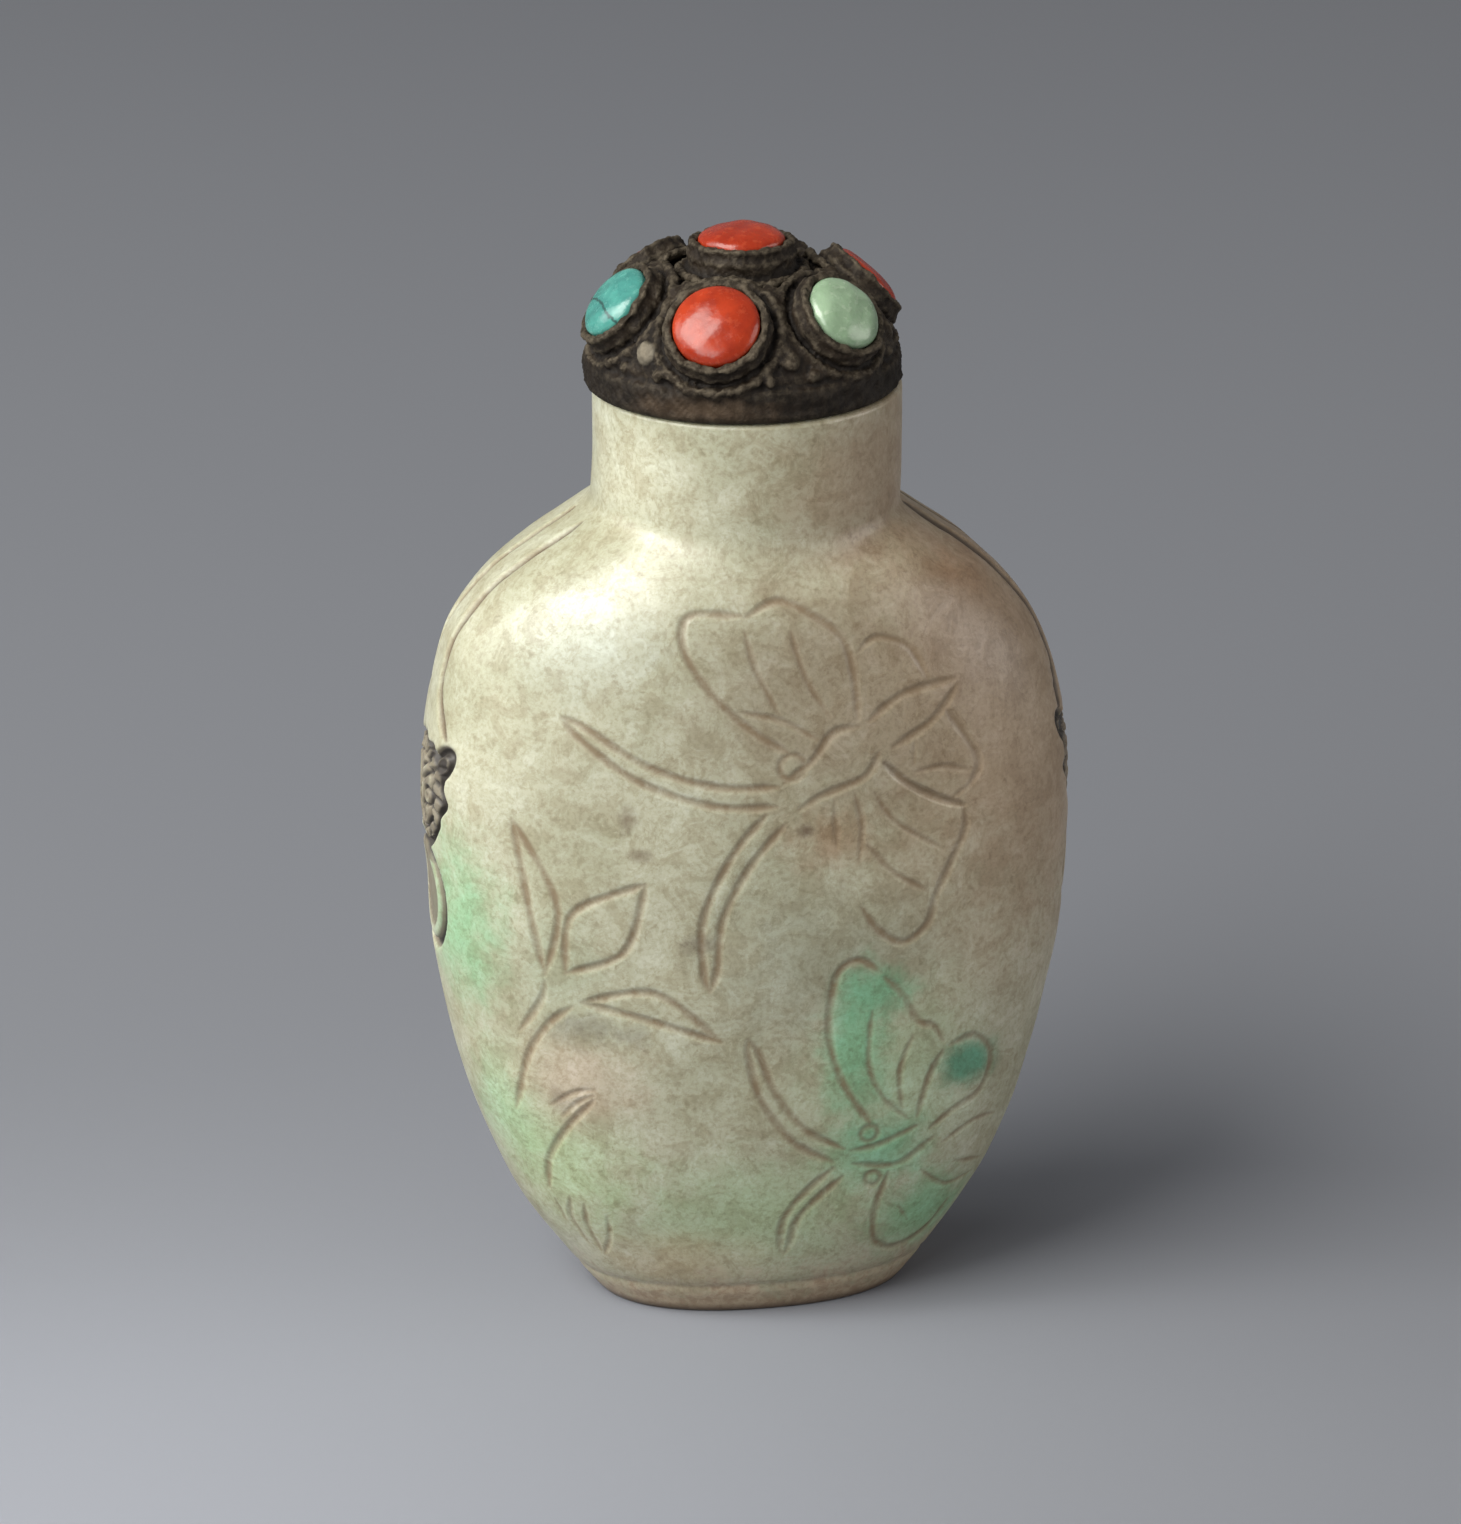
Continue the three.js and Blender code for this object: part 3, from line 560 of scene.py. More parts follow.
class Recipe:
    """Lays out the nodes of one material or one shared effect."""

    def __init__(self, tree):
        self.tree = tree

    def node(self, kind, inputs=None, **settings):
        made = self.tree.nodes.new(kind)
        for name, value in settings.items():
            setattr(made, name, value)
        for name, value in (inputs or {}).items():
            self.feed(made.inputs[name], value)
        return made

    def feed(self, socket, value):
        if isinstance(value, bpy.types.NodeSocket):
            self.tree.links.new(value, socket)
        elif socket.type == "RGBA" and len(value) == 3:
            socket.default_value = (*value, 1)
        else:
            socket.default_value = value

    def place(self):
        return self.node("ShaderNodeTexCoord").outputs["Object"]

    def noise(self, place, scale, detail=4.0, rough=0.55, warp=0.0, out="Fac"):
        return self.node("ShaderNodeTexNoise", {
            "Vector": place, "Scale": scale, "Detail": detail, "Roughness": rough, "Distortion": warp}).outputs[out]

    def maths(self, kind, first, second=0.0):
        return self.node("ShaderNodeMath", {0: first, 1: second}, operation=kind).outputs[0]

    def span(self, value, low, high, to_low=0.0, to_high=1.0):
        """The value stretched from one span to another, eased at both ends."""
        return self.node("ShaderNodeMapRange", {
            "Value": value, "From Min": low, "From Max": high, "To Min": to_low, "To Max": to_high},
            interpolation_type="SMOOTHSTEP").outputs["Result"]

    def blend(self, share, first, second, kind="MIX"):
        return self.node("ShaderNodeMix", {0: share, 6: first, 7: second}, data_type="RGBA",
                         blend_type=kind).outputs[2]

    def attribute(self, name):
        return self.node("ShaderNodeAttribute", attribute_name=name).outputs["Fac"]

    def bump(self, height, distance, strength=1.0, under=None):
        inputs = {"Height": height, "Distance": distance, "Strength": strength}
        if under is not None:
            inputs["Normal"] = under
        return self.node("ShaderNodeBump", inputs).outputs["Normal"]

    def effect(self, group, **inputs):
        made = self.node("ShaderNodeGroup", node_tree=group)
        for name, value in inputs.items():
            self.feed(made.inputs[name.replace("_", " ").capitalize()], value)
        return made


def finish(name, shader):
    """A new material whose one shader has these fixed values, and the recipe to add to."""
    material = bpy.data.materials.new(name)
    material.use_nodes = True
    recipe = Recipe(material.node_tree)
    surface = material.node_tree.nodes["Principled BSDF"]
    for socket, value in shader.items():
        recipe.feed(surface.inputs[socket], value)
    return material, recipe, surface


def shared_effect(name, inputs, outputs):
    """An empty node group with named inputs and outputs, its recipe and its two ends."""
    group = bpy.data.node_groups.new(name, "ShaderNodeTree")
    for label, kind, value in inputs:
        socket = group.interface.new_socket(label, in_out="INPUT", socket_type=kind)
        socket.default_value = value
    for label, kind in outputs:
        group.interface.new_socket(label, in_out="OUTPUT", socket_type=kind)
    recipe = Recipe(group)
    return group, recipe, recipe.node("NodeGroupInput").outputs, recipe.node("NodeGroupOutput").inputs


# A soft-edged patch with a ragged border: a natural stain, painted shade and painted highlight on the stone, and the
# painted highlights on the cap's band and on one grain.
ragged_patch, inside, given, result = shared_effect("ragged_patch", [
    ("Centre", "NodeSocketVector", (0, 0, 0)), ("Size", "NodeSocketVector", (1, 1, 1)),
    ("Ragged", "NodeSocketFloat", 0.5), ("Grain", "NodeSocketFloat", 500.0), ("Solid", "NodeSocketFloat", 0.55),
], [("Mask", "NodeSocketFloat")])
spot_place = inside.place()
away = inside.node("ShaderNodeVectorMath", {0: spot_place, 1: given["Centre"]}, operation="SUBTRACT").outputs[0]
away = inside.node("ShaderNodeVectorMath", {0: away, 1: given["Size"]}, operation="DIVIDE").outputs[0]
away = inside.node("ShaderNodeVectorMath", {0: away}, operation="LENGTH").outputs["Value"]
torn = inside.maths("SUBTRACT", inside.noise(spot_place, given["Grain"], 5, 0.65), 0.5)
away = inside.maths("ADD", away, inside.maths("MULTIPLY", torn, given["Ragged"]))
inside.feed(result["Mask"], inside.span(away, 1.0, given["Solid"]))

# The colours of the stone, of the brown and wax in its cuts, of the darker sunk masks, and of the stain round its
# foot.
pale_stone, deep_stone = (0.435, 0.43, 0.32), (0.355, 0.35, 0.245)
cut_brown, old_wax = (0.165, 0.108, 0.055), (0.034, 0.019, 0.009)
relief_brown, relief_black = (0.115, 0.09, 0.063), (0.016, 0.011, 0.008)
foot_tan, foot_brown, foot_edge = (0.37, 0.28, 0.185), (0.25, 0.165, 0.10), (0.10, 0.06, 0.035)

jade_finish, jade, jade_surface = finish("polished_jadeite", {
    "Subsurface Weight": 0.22, "Subsurface Radius": (1.0, 1.0, 0.7), "Subsurface Scale": 1.1 * mm, "IOR": 1.6,
    "Coat Weight": 0.1, "Coat Roughness": 0.3,
})
stone_place = jade.place()
clouds = jade.noise(stone_place, 110, 5, 0.6, 0.4)
mottle = jade.noise(stone_place, 430, 8, 0.72, 0.6)
flecks = jade.noise(stone_place, 1500, 5, 0.75, 0.5)
grain = jade.noise(stone_place, 3000, 4, 0.68)
colour = jade.blend(jade.span(clouds, 0.36, 0.64), pale_stone, deep_stone)

# Centre, size, ragged edge, solid core, colour and strength of each patch on the stone: first the brown and pale
# clouds, with painted shade and painted highlight among them, then the green veins, then the rosy foot and the small
# dark flaws.
stains_and_painted_light = [
    # The next three rows are brown stain and also painted shade, down the right side, on the neck's right and over
    # the upper middle, where the light falls off.
    ((21, -6, 47), (25, 24, 33), 0.45, 0.3, (0.32, 0.228, 0.145), 0.9),
    ((8, -7, 60), (12, 12, 8), 0.5, 0.2, (0.29, 0.205, 0.125), 0.7),
    ((4, -12, 46), (14, 8, 13), 0.6, 0.15, (0.24, 0.19, 0.13), 0.66),
    # The next two rows are painted highlight on the left shoulder and on the neck's left.
    ((-12, -9, 50), (8, 7, 5.5), 0.8, 0.1, (0.47, 0.50, 0.42), 0.6),
    ((-9, -6, 60), (6, 8, 5), 0.6, 0.1, (0.60, 0.60, 0.47), 0.5),
    # The next two rows are painted shade, in the crease at the neck's root and over the highlight on the right
    # shoulder.
    ((8, -9.5, 55.6), (5.5, 4, 1.7), 0.9, 0.1, (0.22, 0.15, 0.09), 0.7),
    ((15, -8, 50), (9, 8, 9), 0.6, 0.2, (0.215, 0.145, 0.088), 0.8),
    ((16, -9, 53), (6, 8, 3), 0.8, 0.1, (0.30, 0.165, 0.08), 0.6),
    ((3, -12, 27), (12, 6, 9), 0.8, 0.1, (0.245, 0.245, 0.175), 0.7),
    ((-21.3, -7, 29), (5.4, 9, 9.5), 0.9, 0.1, (0.235, 0.43, 0.25), 0.9),
    ((-18, -8, 15.5), (4.5, 8, 8), 0.9, 0.1, (0.28, 0.46, 0.27), 0.75),
    ((-14.5, -9, 28), (5, 8, 6), 0.9, 0.1, (0.33, 0.37, 0.26), 0.5),
    ((-15, -9, 12), (8, 8, 9), 0.8, 0.1, (0.35, 0.47, 0.26), 0.65),
    ((8.5, -11, 17), (9.5, 8, 12), 0.8, 0.0, (0.34, 0.47, 0.285), 0.6),
    ((5.3, -12.5, 21), (3.6, 6, 8.4), 0.9, 0.1, (0.18, 0.40, 0.23), 0.85),
    ((7.0, -12.5, 25), (3.4, 6, 3.2), 1.0, 0.1, (0.16, 0.37, 0.215), 0.8),
    ((7.4, -11, 12.8), (5.4, 6, 4.2), 0.9, 0.1, (0.18, 0.39, 0.23), 0.85),
    ((13.4, -9, 18.3), (3.4, 6, 2.7), 0.9, 0.2, (0.09, 0.27, 0.165), 0.95),
    ((11.0, -8, 6.8), (6.4, 7, 5.0), 0.9, 0.1, (0.19, 0.39, 0.21), 0.85),
    ((-2, -10, 8.5), (13, 8, 7), 0.9, 0.1, (0.33, 0.45, 0.265), 0.65),
    ((-13.2, -9, 19), (7, 7, 5.6), 1.0, 0.1, (0.47, 0.395, 0.30), 0.85),
    ((-6.5, -11, 4.5), (9, 8, 4.0), 1.0, 0.1, (0.45, 0.34, 0.22), 0.6),
    ((3.4, -12, 36.4), (4.2, 4, 3.2), 1.2, 0.1, (0.30, 0.20, 0.115), 0.65),
    ((-9.9, -12, 38.4), (1.0, 3, 1.4), 1.8, 0.1, (0.15, 0.105, 0.06), 0.7),
    ((-9.2, -12, 35.8), (1.2, 3, 0.7), 1.8, 0.1, (0.15, 0.105, 0.06), 0.6),
    ((-5.1, -12, 29.4), (2.0, 3, 1.0), 1.8, 0.1, (0.16, 0.13, 0.09), 0.6),
    ((-11.4, -10, 22.9), (6.0, 3, 1.9), 1.5, 0.1, (0.19, 0.185, 0.14), 0.7),
    ((-14.5, -10, 17.5), (1.0, 3, 1.6), 1.8, 0.1, (0.20, 0.16, 0.11), 0.6),
    ((1.9, -12, 37.1), (0.9, 3, 0.8), 1.2, 0.2, (0.10, 0.06, 0.035), 0.8),
]
for centre, size, ragged, solid, tint, strength in stains_and_painted_light:
    patch = jade.effect(ragged_patch, centre=[c * mm for c in centre], size=[s * mm for s in size],
                        ragged=ragged, solid=solid).outputs["Mask"]
    colour = jade.blend(jade.maths("MULTIPLY", patch, strength), colour, tint)

# The mottle, the flecks and the grain tone that colour: where each starts, is full, how strong and its tint.
for pattern, start, full, strength, tint in [
    (mottle, 0.50, 0.57, 0.55, (0.74, 0.68, 0.60)), (mottle, 0.47, 0.38, 0.75, (1.16, 1.19, 1.27)),
    (flecks, 0.52, 0.66, 0.5, (0.70, 0.64, 0.56)), (grain, 0.42, 0.62, 0.6, (0.76, 0.72, 0.66)),
]:
    colour = jade.blend(jade.span(pattern, start, full, 0, strength), colour, tint, "MULTIPLY")

# Brown has crept up from the foot, wax and snuff lie in the cuts, and the sunk masks are darker where they are cut
# deeper.
up = jade.node("ShaderNodeSeparateXYZ", {0: stone_place}).outputs["Z"]
ragged_up = jade.maths("ADD", up, jade.maths("MULTIPLY", mottle, 12 * mm))
foot_stain = jade.span(ragged_up, 10.2 * mm, 6.6 * mm, 0, 0.85)
colour = jade.blend(foot_stain, colour, jade.blend(jade.span(flecks, 0.4, 0.6), foot_tan, foot_brown))
colour = jade.blend(jade.span(up, 0.9 * mm, 0.2 * mm, 0, 0.75), colour, foot_edge)
stain_break = jade.span(mottle, 0.3, 0.62, 0.45, 1.0)
cut_mask = jade.maths("MULTIPLY", jade.span(jade.attribute("cut_dirt"), 0.08, 0.85, 0, 0.8), stain_break)
wax_mask = jade.span(jade.attribute("cut_wax"), 0.1, 0.75, 0, 0.9)
relief_brown_mask = jade.span(jade.attribute("relief_dirt"), 0.02, 0.4, 0, 0.85)
relief_black_mask = jade.span(jade.attribute("relief_dirt"), 0.42, 0.85, 0, 0.96)
for mask, tint in ((cut_mask, cut_brown), (wax_mask, old_wax), (relief_brown_mask, relief_brown), (relief_black_mask, relief_black)):
    colour = jade.blend(mask, colour, tint)
jade.feed(jade_surface.inputs["Base Color"], colour)
dull = jade.maths("MAXIMUM", cut_mask, jade.maths("MAXIMUM", relief_brown_mask, wax_mask))
jade.feed(jade_surface.inputs["Roughness"],
          jade.maths("ADD", jade.span(mottle, 0.3, 0.7, 0.34, 0.46), jade.maths("MULTIPLY", dull, 0.35)))
jade.feed(jade_surface.inputs["Normal"], jade.bump(grain, 0.012 * mm, 1.0, jade.bump(mottle, 0.05 * mm)))
stone_mesh.materials.append(jade_finish)
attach(jade_bottle, "root")
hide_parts("bottle")


# ======================================================================== stopper cap
# A low dome of silver, blackened by age, that stands on the lip. Its seven cups, the twisted wires round
# them, the collared grains, the small grains and the leaves are soldered on as one. Handling has softened
# and greyed the ridges.

cap_radius, rim_height, dome_foot, dome_height, dome_fullness = 10.55, 2.3, 3.0, 7.4, 2.27
first_stone, stone_turn, stone_tilt = -20.5, 60.0, 43.0
seat_distance, seat_height = 7.4, 4.95
cup_radius, front_cup_radius, top_cup_radius = 3.3, 3.55, 3.55
cup_wall, cup_height, cup_pocket = 0.64, 2.05, 0.9
wire_height, wire_offset, strand_radius, strand_lay, wire_twists = 0.35, 0.6, 0.25, 0.13, 19
grain_radius, grain_tilt, grain_distance, grain_height = 0.82, 25, 9.35, 3.9
small_grain_radius, small_grain_turn = 0.45, 8.5
top_cup_foot, solder_size = 7.75, 0.155
on_lip = Matrix.Translation((0, 0, lip_height))


def seat(angle, tilt=stone_tilt, distance=seat_distance, height=seat_height):
    """A frame on the cap whose Z runs out through the middle of a stone."""
    return (on_lip @ Matrix.Rotation(math.radians(angle), 4, "Z") @ Matrix.Translation((0, -distance, height))
            @ Matrix.Rotation(math.radians(90 - tilt), 4, "X"))


top_seat = seat(0, 90, 0, top_cup_foot)


def lathe(name, profile, sides):
    """A closed round form from (radius, height) pairs that run from the lower pole to the upper one."""
    turn = np.arange(sides) * math.tau / sides
    body = profile[1:-1]
    points = [(0, 0, profile[0][1])]
    for radius, height in body:
        points += [(radius * math.cos(t), radius * math.sin(t), height) for t in turn]
    points.append((0, 0, profile[-1][1]))
    faces, last = [], len(points) - 1
    for side in range(sides):
        after = (side + 1) % sides
        faces.append((0, 1 + after, 1 + side))
        for row in range(len(body) - 1):
            low, high = 1 + row * sides, 1 + (row + 1) * sides
            faces.append((low + side, low + after, high + after, high + side))
        high = 1 + (len(body) - 1) * sides
        faces.append((high + side, high + after, last))
    mesh = bpy.data.meshes.new(name)
    mesh.from_pydata(points, [], faces)
    made = bpy.data.objects.new(name, mesh)
    bpy.context.scene.collection.objects.link(made)
    return made


def node_tree_for(name, inputs):
    """An empty Geometry Nodes tree with named inputs, its recipe and its two ends."""
    tree = bpy.data.node_groups.new(name, "GeometryNodeTree")
    for label, kind in inputs:
        tree.interface.new_socket(label, in_out="INPUT", socket_type=kind)
    tree.interface.new_socket("Geometry", in_out="OUTPUT", socket_type="NodeSocketGeometry")
    recipe = Recipe(tree)
    return tree, recipe, recipe.node("NodeGroupInput").outputs, recipe.node("NodeGroupOutput").inputs["Geometry"]


def end_tree(recipe, geometry, material, out):
    """The end that every tree has: real geometry instead of instances, with its material."""
    solid = recipe.node("GeometryNodeRealizeInstances", {"Geometry": geometry}).outputs[0]
    recipe.feed(out, recipe.node("GeometryNodeSetMaterial", {"Geometry": solid, "Material": material}).outputs[0])


def grown(name, tree, **values):
    """The plain mesh that a Geometry Nodes tree makes from these values, as an object of its own."""
    seed = bpy.data.objects.new(name, bpy.data.meshes.new(name))
    bpy.context.scene.collection.objects.link(seed)
    modifier = seed.modifiers.new(name, "NODES")
    modifier.node_group = tree
    for item in tree.interface.items_tree:
        if item.in_out == "INPUT":
            modifier[item.identifier] = values[item.name.lower().replace(" ", "_")]
    bpy.context.view_layer.update()
    mesh = bpy.data.meshes.new_from_object(seed.evaluated_get(bpy.context.evaluated_depsgraph_get()))
    seed.modifiers.clear()
    seed.data = mesh
    return seed


# Two strands laid round each other and closed into a hoop.
twisted_hoop, hoop, given, out = node_tree_for("twisted_hoop", [
    ("Hoop Radius", "NodeSocketFloat"), ("Strand Radius", "NodeSocketFloat"), ("Lay", "NodeSocketFloat"),
    ("Twists", "NodeSocketInt"), ("Steps", "NodeSocketInt"), ("Material", "NodeSocketMaterial"),
])
bend = hoop.node("GeometryNodeCurvePrimitiveCircle", {"Resolution": 64, "Radius": given["Hoop Radius"]}).outputs[0]
bend = hoop.node("GeometryNodeResampleCurve", {"Curve": bend, "Count": given["Steps"]}).outputs[0]
along = hoop.node("GeometryNodeSplineParameter").outputs["Factor"]
spin = hoop.maths("MULTIPLY", hoop.maths("MULTIPLY", along, math.tau), given["Twists"])
outwards = hoop.node("ShaderNodeVectorMath", {0: hoop.node("GeometryNodeInputPosition").outputs[0]},
                     operation="NORMALIZE").outputs[0]
strands = hoop.node("GeometryNodeJoinGeometry")
section = hoop.node("GeometryNodeCurvePrimitiveCircle",
                    {"Resolution": 10, "Radius": given["Strand Radius"]}).outputs[0]
for phase in (0, math.pi):
    turn = hoop.maths("ADD", spin, phase)
    across = hoop.maths("MULTIPLY", hoop.maths("COSINE", turn), given["Lay"])
    upward = hoop.maths("MULTIPLY", hoop.maths("SINE", turn), given["Lay"])
    sideways = hoop.node("ShaderNodeVectorMath", {0: outwards, "Scale": across}, operation="SCALE").outputs[0]
    lift = hoop.node("ShaderNodeCombineXYZ", {"Z": upward}).outputs[0]
    shift = hoop.node("ShaderNodeVectorMath", {0: sideways, 1: lift}, operation="ADD").outputs[0]
    strand = hoop.node("GeometryNodeSetPosition", {"Geometry": bend, "Offset": shift}).outputs[0]
    tube = hoop.node("GeometryNodeCurveToMesh", {"Curve": strand, "Profile Curve": section}).outputs[0]
    hoop.tree.links.new(tube, strands.inputs[0])
end_tree(hoop, strands.outputs[0], given["Material"], out)

# One trim repeated round the cap's axis.
round_the_cap, ring_tree, given, out = node_tree_for("round_the_cap", [
    ("Trim", "NodeSocketObject"), ("Count", "NodeSocketInt"), ("First Angle", "NodeSocketFloat"),
    ("Step Angle", "NodeSocketFloat"), ("Material", "NodeSocketMaterial"),
])
axis_points = ring_tree.node("GeometryNodeMeshLine", {"Count": given["Count"], "Offset": (0, 0, 0)}).outputs[0]
angle = ring_tree.maths("MULTIPLY", ring_tree.node("GeometryNodeInputIndex").outputs[0], given["Step Angle"])
angle = ring_tree.maths("ADD", angle, given["First Angle"])
facing = ring_tree.node("ShaderNodeCombineXYZ", {"Z": angle}).outputs[0]
trim = ring_tree.node("GeometryNodeObjectInfo", {"Object": given["Trim"]}).outputs["Geometry"]
copies = ring_tree.node("GeometryNodeInstanceOnPoints", {
    "Points": axis_points, "Instance": trim, "Rotation": facing}).outputs[0]
end_tree(ring_tree, copies, given["Material"], out)

silver_finish, silver, silver_surface = finish("blackened_silver", {"Specular IOR Level": 0.22})

wall_radius = cap_radius - 0.45
dome = lathe("cap_dome", [
    (0, 0), (cap_radius - 0.55, 0), (cap_radius - 0.15, 0.12), (cap_radius, 0.45), (cap_radius - 0.04, 1.1),
    (cap_radius, rim_height - 0.5), (cap_radius - 0.1, rim_height - 0.15), (cap_radius - 0.35, rim_height),
    (wall_radius, rim_height + 0.15),
    *[(wall_radius * share, dome_foot + (dome_height - dome_foot) * (1 - share**dome_fullness))
      for share in (1, 0.97, 0.92, 0.85, 0.76, 0.66, 0.55, 0.43, 0.3, 0.16)], (0, dome_height)], 96)
dome.data.transform(on_lip)


def cup(name, radius):
    """A stone's cup: a wide foot, a ridge and a lip that is pushed over the stone's edge."""
    inner = radius - cup_wall
    floor = cup_height - cup_pocket
    return lathe(name, [
        (0, -2.6), (radius * 0.8, -2.6), (radius + 0.16, -0.4), (radius + 0.02, 0.5), (radius - 0.02, 0.72),
        (radius + 0.1, 0.95), (radius + 0.1, 1.12), (radius - 0.06, 1.35), (radius - 0.1, 1.6),
        (radius - 0.02, cup_height - 0.14), (radius - 0.12, cup_height), (inner + 0.02, cup_height),
        (inner - 0.02, cup_height - 0.18), (inner, floor), (0, floor)], 48)


def ball(name, radius, step, sides):
    return lathe(name, [(radius * math.cos(t), radius * math.sin(t)) for t in np.radians(np.arange(-90, 91, step))],
                 sides)


def moved_to(made, matrix):
    made.data.transform(matrix)
    return made


def cup_and_wire(name, radius, place, lift=wire_height):
    """A cup and the twisted wire round it, both in place on the cap."""
    wire = grown(name + "_wire", twisted_hoop, hoop_radius=radius + wire_offset, strand_radius=strand_radius,
                 lay=strand_lay, twists=wire_twists, steps=200, material=silver_finish)
    return moved_to(cup(name + "_cup", radius), place), moved_to(wire, place @ Matrix.Translation((0, 0, lift)))


ring_cup, ring_wire = cup_and_wire("ring", cup_radius, seat(0))
front_cup, front_wire = cup_and_wire("front", front_cup_radius, seat(first_stone))
top_cup, top_wire = cup_and_wire("top", top_cup_radius, top_seat, lift=-0.1)

grain_ball = moved_to(ball("grain_ball", grain_radius, 15, 20), seat(0, grain_tilt, grain_distance, grain_height))
grain_collar = grown("grain_collar", twisted_hoop, hoop_radius=1.05, strand_radius=0.17, lay=0.1, twists=8,
                     steps=80, material=silver_finish)
moved_to(grain_collar, seat(0, grain_tilt, grain_distance, grain_height + 0.05))
small_grain = moved_to(ball("small_grain", small_grain_radius, 22.5, 12), seat(0, 20, 10.05, 2.95))
leaf_drop = lathe("leaf_drop", [
    (0, -1.9), (0.5, -1.45), (0.85, -0.6), (0.82, 0.25), (0.6, 1.1), (0.28, 1.75), (0, 2.0)], 14)
leaf_drop.data.transform(Matrix.Rotation(math.radians(90), 4, "X") @ Matrix.Diagonal((1, 0.8, 1, 1)))
moved_to(leaf_drop, seat(0, 55, 6.35, 6.85))

# The front and top cups are a little larger, so only the other five are copies of one.
between = first_stone + stone_turn / 2
laid_round = [
    (ring_cup, 5, first_stone + stone_turn), (ring_wire, 5, first_stone + stone_turn),
    (grain_ball, 6, between), (grain_collar, 6, between), (leaf_drop, 6, between),
    (small_grain, 6, between - small_grain_turn), (small_grain, 6, between + small_grain_turn),
]
cap_parts = [dome, front_cup, front_wire, top_cup, top_wire]
for trim, count, start in laid_round:
    cap_parts.append(grown(trim.name + "_round", round_the_cap, trim=trim, count=count,
                           first_angle=math.radians(start), step_angle=math.radians(stone_turn),
                           material=silver_finish))

# Solder runs all of them together: one skin, slightly softened.
points, faces, total = [], [], 0
for part in cap_parts:
    points += [tuple(v.co) for v in part.data.vertices]
    faces += [[total + v for v in p.vertices] for p in part.data.polygons]
    total = len(points)
for part in {*cap_parts, *[trim for trim, _, _ in laid_round]}:
    bpy.data.objects.remove(part)
loose = bpy.data.meshes.new("cap_loose")
loose.from_pydata(points, [], faces)
silver_cap = bpy.data.objects.new("silver_cap", loose)
bpy.context.scene.collection.objects.link(silver_cap)
fuse = silver_cap.modifiers.new("fuse", "REMESH")
fuse.mode, fuse.voxel_size, fuse.adaptivity = "VOXEL", solder_size, 0.0
soften = silver_cap.modifiers.new("soften", "SMOOTH")
soften.factor, soften.iterations = 0.5, 2
bpy.context.view_layer.update()
fused = bpy.data.meshes.new_from_object(silver_cap.evaluated_get(bpy.context.evaluated_depsgraph_get()))
silver_cap.modifiers.clear()
silver_cap.data = fused


def mesh_arrays(mesh):
    spots = np.empty(len(mesh.vertices) * 3)
    mesh.vertices.foreach_get("co", spots)
    normals = np.empty(len(mesh.vertices) * 3)
    mesh.vertices.foreach_get("normal", normals)
    links = np.empty(len(mesh.edges) * 2, dtype=int)
    mesh.edges.foreach_get("vertices", links)
    return spots.reshape(-1, 3), normals.reshape(-1, 3), links.reshape(-1, 2)


def smoothed(values, links, rounds):
    """The values after each has been averaged with its neighbours a number of times."""
    count = np.bincount(links.ravel(), minlength=len(values))[:, None].clip(1)
    for _ in range(rounds):
        sums = np.zeros_like(values)
        np.add.at(sums, links[:, 0], values[links[:, 1]])
        np.add.at(sums, links[:, 1], values[links[:, 0]])
        values = 0.5 * values + 0.5 * sums / count
    return values


spots, normals, links = mesh_arrays(fused)
ridge = ((spots - smoothed(spots, links, 14)) * normals).sum(axis=1)
between_cups = -((spots - smoothed(spots, links, 90)) * normals).sum(axis=1)
for name, values in (("worn", np.clip(ridge / 0.09, 0, 1)), ("crust", np.clip(-ridge / 0.09, 0, 1)),
                     ("hollow", np.clip(between_cups / 0.22, 0, 1))):
    layer = fused.attributes.new(name, "FLOAT", "POINT")
    layer.data.foreach_set("value", values)
# Casting, solder and age left the metal uneven above the band that stands on the lip.
unevenness = (np.sin(spots @ [1.9, 1.3, 2.2]) * np.sin(spots @ [-1.4, 2.1, 1.1]) * 0.08
              + np.sin(spots @ [4.1, -3.2, 3.6]) * np.sin(spots @ [2.6, 4.4, -3.1]) * 0.075
              + np.sin(spots @ [8.3, 6.1, -7.2]) * np.sin(spots @ [-6.4, 7.7, 5.9]) * 0.04)
free = soft_step(lip_height + 0.05, lip_height + 0.6, spots[:, 2])
spots = spots + normals * ((unevenness - 0.03) * free)[:, None]
fused.vertices.foreach_set("co", (spots * mm).ravel())
fused.update()
fused.shade_smooth()

tarnish, soot, hollow_black = (0.020, 0.0128, 0.0072), (0.008, 0.005, 0.003), (0.006, 0.0038, 0.0024)
# The last colour on the next line and the last one on the line after are painted highlights, on the band and on one
# grain.
band_black, dust_brown, band_highlight_brown = (0.0065, 0.0042, 0.0025), (0.05, 0.0385, 0.025), (0.085, 0.055, 0.032)
worn_grey, grain_highlight_grey = (0.082, 0.066, 0.046), (0.23, 0.20, 0.15)
silver_place = silver.place()
patina = silver.noise(silver_place, 420, 6, 0.68)
dust = silver.noise(silver_place, 1700, 5, 0.7)
pits = silver.noise(silver_place, 3800, 4, 0.7)
worn = silver.span(silver.attribute("worn"), 0.12, 0.8)
crust = silver.span(silver.attribute("crust"), 0.1, 0.7)
hollow = silver.span(silver.attribute("hollow"), 0.1, 0.9, 0, 0.8)
band = silver.span(silver.node("ShaderNodeSeparateXYZ", {0: silver_place}).outputs["Z"],
                   (lip_height + 2.5) * mm, (lip_height + 1.7) * mm, 0, 0.65)
colour = silver.blend(silver.span(patina, 0.38, 0.64), tarnish, soot)
